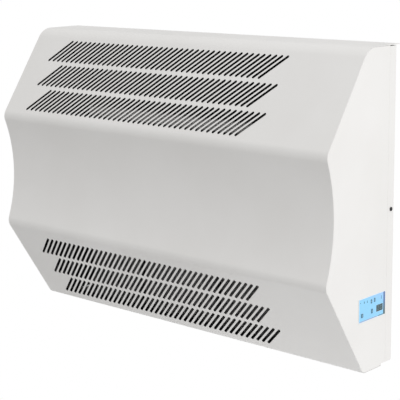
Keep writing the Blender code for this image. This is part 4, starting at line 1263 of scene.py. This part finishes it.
def pipe_union(bm, node):
    """Compression fitting: two chamfered nuts on a turned body, with raised rings between."""
    foot = foot_of(node)
    length = 2 * middle_of(node)[1].z
    body = soften(washer(UNION_BORE, UNION_RADIUS, 0, length), 0.0005, True)
    turned(bm, body, foot, UP, 36, True)
    for start in (NUT_MARGIN, length - NUT_HEIGHT - NUT_MARGIN):
        hexagon(bm, foot, NUT_ACROSS, start, start + NUT_HEIGHT, NUT_BORE)
    for z in (length / 2 - RING_PITCH, length / 2, length / 2 + RING_PITCH):
        ring = [
            (RING_INNER, z - 0.0008), (RING_OUTER, z - 0.0003),
            (RING_OUTER, z + 0.0003), (RING_INNER, z + 0.0008),
        ]
        turned(bm, soften(ring, 0.0002, True), foot, UP, 36, True)


def air_vent_body(bm, node):
    turned(bm, soften(VENT_BODY, 0.0005), foot_of(node), UP)


def air_vent_screw(bm, node):
    """Bleed screw with a square end for its key."""
    foot = foot_of("air_vent_body") + Vector((0, 0, VENT_FLOOR + GAP))
    turned(bm, soften(rod(VENT_SCREW_RADIUS, VENT_SCREW_LENGTH), 0.0004), foot, UP)
    depth, height = flat(foot)
    square = about(foot.x, VENT_SQUARE_HALF), about(depth, VENT_SQUARE_HALF)
    block(bm, *square, (height + VENT_SCREW_LENGTH - 0.0002, extent(node)[2][1]))


# Fans


def scroll(top):
    """The scroll's clockwise outline, open at the top."""
    points = []
    for step in range(SCROLL_STEPS + 1):
        share = step / SCROLL_STEPS
        radius = SCROLL_WIDE + (SCROLL_TIGHT - SCROLL_WIDE) * share
        angle = -SCROLL_TURN * share
        points.append((SHAFT_DEPTH + radius * math.cos(angle), SHAFT_Z + radius * math.sin(angle)))
    return points + [(points[-1][0], top), (points[0][0], top)]


def inlet_hole(back):
    sizes = [INLET_RADIUS] * 3
    return [rounded((SHAFT_DEPTH, SHAFT_Z), (1, 0), *sizes, back, 12)]


def blower_housing(bm, node):
    """Scroll wrapper between two cheeks, each with a rolled inlet."""
    (left, right), _, (_, top) = extent(node)
    sheet = BLOWER_SHEET
    line = scroll(top)
    wrapper = line[:-1] + inset(line[:-1], sheet)[::-1]
    depth, height = line[0]
    front = [(depth, height), (depth - sheet, height), (depth - sheet, top), (depth, top)]
    for outline in (wrapper, front):
        points = [at(left + sheet, *p) for p in outline]
        prism(bm, points, Vector((right - left - 2 * sheet, 0, 0)))
    mouth = [(INLET_RADIUS, 0), *arc((0.0520, -0.004), (INLET_RADIUS, -0.004), (0.0538, -0.0095), 5)]
    mouth += [(radius + INLET_SHEET, along) for radius, along in reversed(mouth)]
    for face, side in ((left, -1), (right, 1)):
        plate(bm, line, face, sheet, 0.0002, 0, inlet_hole, side)
        turned(bm, mouth, at(face, SHAFT_DEPTH, SHAFT_Z), (side, 0, 0), 48, True)


def impeller(bm, node):
    """Double-inlet cage: curved blades between end rings, on a disc and hub."""
    centre, half = middle_of(node)
    end = half.x
    start = 0.0008
    turned(bm, soften(DISC, 0.001, True), centre, RIGHT, 48, True)
    rim = soften(washer(CAGE_INNER, CAGE_OUTER, end - CAGE_RING, end), 0.0008, True)
    blade = arc(*BLADE_LINE, 5)
    blade += inset(blade, BLADE_SHEET)[::-1]
    for side in (-1, 1):
        turned(bm, rim, centre, (side, 0, 0), 64, True)
        sweep = Vector((side * (end - CAGE_RING / 2 - start), 0, 0))
        for number in range(BLADES):
            spin = Matrix.Rotation(2 * math.pi * number / BLADES, 3, "X")
            points = [centre + spin @ Vector((side * start, y, z)) for z, y in blade]
            prism(bm, points, sweep)


def fan_shaft(bm, node):
    centre, half = middle_of(node)
    chamfer = 0.0008
    end = [(0, -half.x), (half.z - chamfer, -half.x), (half.z, chamfer - half.x)]
    turned(bm, mirrored(end), centre, RIGHT)


def motor_housing(bm, node):
    """Motor shell with grooves round its middle, open at both ends for the bearings."""
    centre, half = middle_of(node)
    end, radius = half.x, half.z
    profile = [
        (0.0064, end - 0.0085), (0.0134, end - 0.0085), (0.0134, end), (0.0300, end),
        (0.0440, end - 0.006), (radius, end - 0.016),
    ]
    floor = radius - MOTOR_GROOVE
    grooves = []
    for groove in range(3, -4, -1):
        a = groove * MOTOR_GROOVE_PITCH
        grooves += [(radius, a + 0.0016), (floor, a + 0.0008), (floor, a - 0.0014), (radius, a - 0.0022)]
    shell = profile + grooves + [(r, -a) for r, a in reversed(profile)]
    turned(bm, soften(shell, 0.0012, True, 2), centre, RIGHT, 64, True)


def motor_bearing(bm, node):
    """Two races with a dark shield between them."""
    centre, half = middle_of(node)
    end = half.x
    races = ((0.00507, 0.0072, end, 0), (0.0104, 0.0130, end, 0), (0.0073, 0.0103, end - 0.0006, 1))
    for inner, outer, reach, material in races:
        profile = soften(washer(inner, outer, -reach, reach), 0.0003, True)
        turned(bm, profile, centre, RIGHT, 48, True, material)


# Filter, foam and small parts


def filter_pad(bm, node):
    """Woven mesh: fine threads across the window and up it, with a welded border."""
    (left, right), depths, (low, high) = extent(node)
    border = FILTER_BORDER
    for x in (left, right - border):
        block(bm, (x, x + border), depths, (low, high))
    inside = (left + border + 0.0001, right - border - 0.0001)
    for z in (low, high - border):
        block(bm, inside, depths, (z, z + border))
    weld = 0.0015
    width, height = right - left - 2 * weld, high - low - 2 * weld
    for length, way, run, offset in (
        (width, RIGHT, Vector((0, 0, height)), -0.8 * MESH_THREAD),
        (height, UP, Vector((width, 0, 0)), 0.8 * MESH_THREAD),
    ):
        count = round(length / MESH_PITCH)
        corner = at(left + weld, sum(depths) / 2 + offset, low + weld)
        for i in range(1, count):
            start = corner + Vector(way) * length * i / count
            tube(bm, [start, start + run], MESH_THREAD, 5)


def upper_lining(bm, node):
    """Foam slab with rows of soft pyramids on its room side."""
    (left, right), (back, front), (low, high) = extent(node)
    columns, rows = (2 * count for count in FOAM_CELLS)
    grid = []
    for row in range(rows + 1):
        line = []
        for column in range(columns + 1):
            edge = row in (0, rows) or column in (0, columns)
            dip = FOAM_EDGE_DIP if edge else 0.0 if row % 2 and column % 2 else FOAM_DIP
            x = left + (right - left) * column / columns
            z = low + (high - low) * row / rows
            line.append(bm.verts.new(at(x, front - dip, z)))
        grid.append(line)
    for a, b in zip(grid, grid[1:]):
        for corners in zip(a, a[1:], b[1:], b):
            bm.faces.new(corners)
    first, last = ([line[i] for line in grid] for i in (0, -1))
    rim = grid[0][:-1] + last[:-1] + grid[-1][:0:-1] + first[:0:-1]
    foot = add_loop(bm, [Vector((v.co.x, -back, v.co.z)) for v in rim])
    bridge(bm, rim, foot)
    bm.faces.new(foot)


def wall_spacer(bm, node):
    """Turned rubber foot with two grooves."""
    _, half = middle_of(node)
    length, radius = 2 * half.y, half.z
    profile = [(0, 0), (radius * 0.8, 0), (radius, 0.002)]
    for along in (0.006, 0.011):
        profile += [(radius, along - 0.001), (radius - 0.001, along), (radius, along + 0.001)]
    profile += [(radius, length), (0, length)]
    turned(bm, soften(profile, 0.0006), foot_of(node, FORWARD), FORWARD)


def cable_gland(bm, node):
    """Dome nut with gripping ribs, collar and thread."""
    centre, _ = middle_of(node)
    centre.z = BASE
    turned(bm, DOME_NUT + thread(*GLAND_THREAD) + GLAND_END, centre, UP, 48, True)
    for rib in range(GRIP_RIBS):
        spin = Matrix.Rotation(2 * math.pi * rib / GRIP_RIBS, 3, "Z")
        corners = [centre + spin @ Vector((x, y, GRIP_START)) for x, y in GRIP_RIB]
        prism(bm, corners, Vector((0, 0, GRIP_LENGTH)))


def gland_lock_nut(bm, node):
    _, half = middle_of(node)
    hexagon(bm, foot_of(node), GLAND_NUT_ACROSS, 0, 2 * half.z, GLAND_NUT_BORE)


def thermal_cutout(bm, node):
    """Round switch body with a well for its button, and two brass tabs."""
    foot = foot_of(node, RIGHT)
    turned(bm, soften(CUTOUT_BODY, 0.0005), foot, RIGHT)
    depth, height = flat(foot)
    for side in (-1, 1):
        sheet = about(depth + side * TAB_OFFSET, TAB_HALF_SHEET)
        reach = (foot.x + TAB_START, foot.x + TAB_END)
        block(bm, reach, sheet, about(height, TAB_HALF_WIDTH), 1)


def reset_button(bm, node):
    left, right = extent(node)[0]
    length = right - left
    neck = (RESET_RADIUS, length - 0.001)
    profile = [(0, 0), (RESET_RADIUS, 0), neck, (RESET_TIP, length), (0, length)]
    turned(bm, soften(profile, 0.0005), foot_of(node, RIGHT), RIGHT)


def lead_grommet(bm, node):
    centre, half = middle_of(node)
    end, lip = half.x, half.z
    groove = end - GROMMET_LIP
    face = [(GROMMET_BORE, -end), (lip, -end), (lip, -groove), (GROMMET_NECK, -groove)]
    turned(bm, soften(mirrored(face), 0.0007, True), centre, RIGHT, 48, True)


def lead(bm, node):
    """A round cable that eases through each turn of its route."""
    radius, route = LEADS[node]
    points = [at(*p) for p in route]
    line = [points[0]]
    steps = 8
    for before, corner, after in zip(points, points[1:], points[2:]):
        start = corner + (before - corner) / 2.05
        end = corner + (after - corner) / 2.05
        for step in range(steps + 1):
            t = step / steps
            line.append(start * (1 - t) ** 2 + corner * 2 * t * (1 - t) + end * t**2)
    tube(bm, [*line, points[-1]], radius, 20)


def terminal_block(bm, node):
    """Cable clamps side by side, each with a screw and a wire funnel at either end."""
    (left, right), (back, front), (low, high) = extent(node)
    block(bm, (left, right), (back, CLAMP_BED), (low, high))
    half = (right - left) / CLAMPS / 2
    body = (CLAMP_BED - 0.0002, front - 0.0006), (low + CLAMP_STEP, high - CLAMP_STEP)
    for i in range(CLAMPS):
        x = left + half * (2 * i + 1)
        block(bm, about(x, half - CLAMP_GAP), *body)
        screw = at(x, front - 0.0008, (low + high) / 2)
        turned(bm, CLAMP_SCREW, screw, FORWARD, 24, False, 1)
        for z in (low + FUNNEL_INSET, high - FUNNEL_INSET):
            funnel = rod(FUNNEL_RADIUS, FUNNEL_RISE)
            turned(bm, funnel, at(x, CLAMP_BED, z), FORWARD, 20, False, 2)


def speed_transformer(bm, node):
    """Laminated core with a wound bobbin through it, on its foot plate."""
    (left, right), (back, _), heights = extent(node)
    block(bm, (left, right), (back, FOOT_PLATE_DEPTH), heights, 2)
    block(bm, *CORE)
    bobbin = rectangle(*BOBBIN, BOBBIN_CORNER)
    for x, length, material in WINDING_PARTS:
        prism(bm, [at(x, *p) for p in bobbin], Vector((length, 0, 0)), material)


# Surroundings


def studio():
    """A pale floor well below the hung unit, a soft dome of light and one softbox."""
    bm = bmesh.new()
    bmesh.ops.create_circle(bm, cap_ends=True, segments=96, radius=FLOOR_RADIUS)
    floor = new_object("floor", bm)
    glow = {"Emission Color": WHITE, "Emission Strength": FLOOR_GLOW}
    floor.data.materials.append(surface(
        "pale_floor", (0.90, 0.90, 0.90), (0.92, 0.92, 0.92), (0.8, 0.9), patch=0.5, extra=glow,
    ))
    floor.location.z = BASE - FLOOR_DROP

    world = bpy.data.worlds.new("studio")
    bpy.context.scene.world = world
    world.use_nodes = True
    tree = world.node_tree
    way = add_node(tree, "TexCoord", {}).outputs["Generated"]
    lean = add_node(tree, "VectorMath", {0: way, 1: DOME_LEAN}, operation="DOT_PRODUCT")
    level = add_node(tree, "Math", {0: lean.outputs["Value"], 1: DOME_LEVEL}, operation="ADD")
    dome = tree.nodes["Background"]
    set_inputs(tree, dome, {"Color": WHITE, "Strength": level.outputs[0]})
    plain = add_node(tree, "Background", {"Color": WHITE, "Strength": 1.0})
    seen = add_node(tree, "LightPath", {}).outputs["Is Camera Ray"]
    mix = add_node(tree, "MixShader", {0: seen, 1: dome.outputs[0], 2: plain.outputs[0]})
    set_inputs(tree, tree.nodes["World Output"], {"Surface": mix.outputs[0]})
    bpy.context.scene.view_settings.view_transform = "Standard"

    light = bpy.data.lights.new("key_softbox", "AREA")
    light.shape = "RECTANGLE"
    light.size, light.size_y = KEY_SIZE
    light.energy = KEY_POWER
    box = show("key_softbox", light)
    box.location = KEY_AT
    box.rotation_euler = (Vector(KEY_TARGET) - box.location).to_track_quat("-Z", "Y").to_euler()


def camera():
    data = bpy.data.cameras.new("camera")
    data.lens = CAMERA_LENS
    obj = show("camera", data)
    a, e, r = (math.radians(v) for v in (CAMERA_AZIMUTH, CAMERA_ELEVATION, CAMERA_ROLL))
    turn = Matrix.Rotation(a, 3, "Z") @ Matrix.Rotation(math.pi / 2 - e, 3, "X")
    obj.matrix_world = Matrix.Translation(CAMERA_AT) @ (turn @ Matrix.Rotation(r, 3, "Z")).to_4x4()
    bpy.context.scene.camera = obj


def casing_pieces():
    front_wrap()
    for hand in ("right", "left"):
        side_panel(f"{hand}_side_panel")
    piece("rear_pan", rear_pan, edge=0.0003, cut=pan_bores)
    for hand in ("right", "left"):
        piece(f"{hand}_casing_screw", casing_screw, cut=cross_recess)
    inks = ("overlay_blue", "overlay_band", "overlay_line", "overlay_marks")
    piece("control_overlay", control_overlay, "overlay_white", *inks)
    piece("display_lens", display, "display_glass", "display_digits")
    for node in KEYS:
        piece(node, key, "key_plastic", "overlay_white")
    board = ("circuit_board", "black_plastic", "terminal_plastic", "bright_steel")
    piece("control_board", control_board, *board, edge=0.0001)


def inner_pieces():
    for node, edge in SOFTENED.items():
        piece(node, packed_shape, edge=edge)
    piece("coil_fin_block", coil_fins)
    piece("coil_tube", coil_tube)
    for pipe in ("return", "flow"):
        piece(f"{pipe}_riser", riser)
        piece(f"{pipe}_union", pipe_union, angle=35)
    piece("air_vent_body", air_vent_body)
    piece("air_vent_screw", air_vent_screw, edge=0.0002)
    for hand in ("left", "right"):
        piece(f"{hand}_blower_housing", blower_housing)
        piece(f"{hand}_impeller", impeller)
        piece(f"{hand}_wall_spacer", wall_spacer)
    piece("fan_shaft", fan_shaft)
    piece("motor_housing", motor_housing)
    for hand in ("left", "right"):
        piece(f"{hand}_motor_bearing", motor_bearing, "bright_steel", "black_sheet")
    for place in ("left", "middle", "right"):
        piece(f"{place}_filter_pad", filter_pad)
    piece("upper_lining", upper_lining, angle=70)
    piece("cable_gland", cable_gland)
    piece("gland_lock_nut", gland_lock_nut, angle=35)
    piece("thermal_cutout", thermal_cutout, "black_plastic", "brass")
    piece("cutout_reset_button", reset_button)
    piece("lead_grommet", lead_grommet)
    clamps = ("terminal_plastic", "bright_steel", "black_plastic")
    piece("terminal_block", terminal_block, *clamps, edge=0.0002)
    windings = ("transformer_iron", "winding", "inner_sheet", "black_plastic")
    piece("speed_transformer", speed_transformer, *windings)
    for node in LEADS:
        piece(node, lead)


def main():
    studio()
    camera()
    for node, obj in frame["nodes"].items():
        obj.data.materials.clear()
        obj.data.materials.append(finish(SLOT_OF[node]))
    casing_pieces()
    inner_pieces()


main()
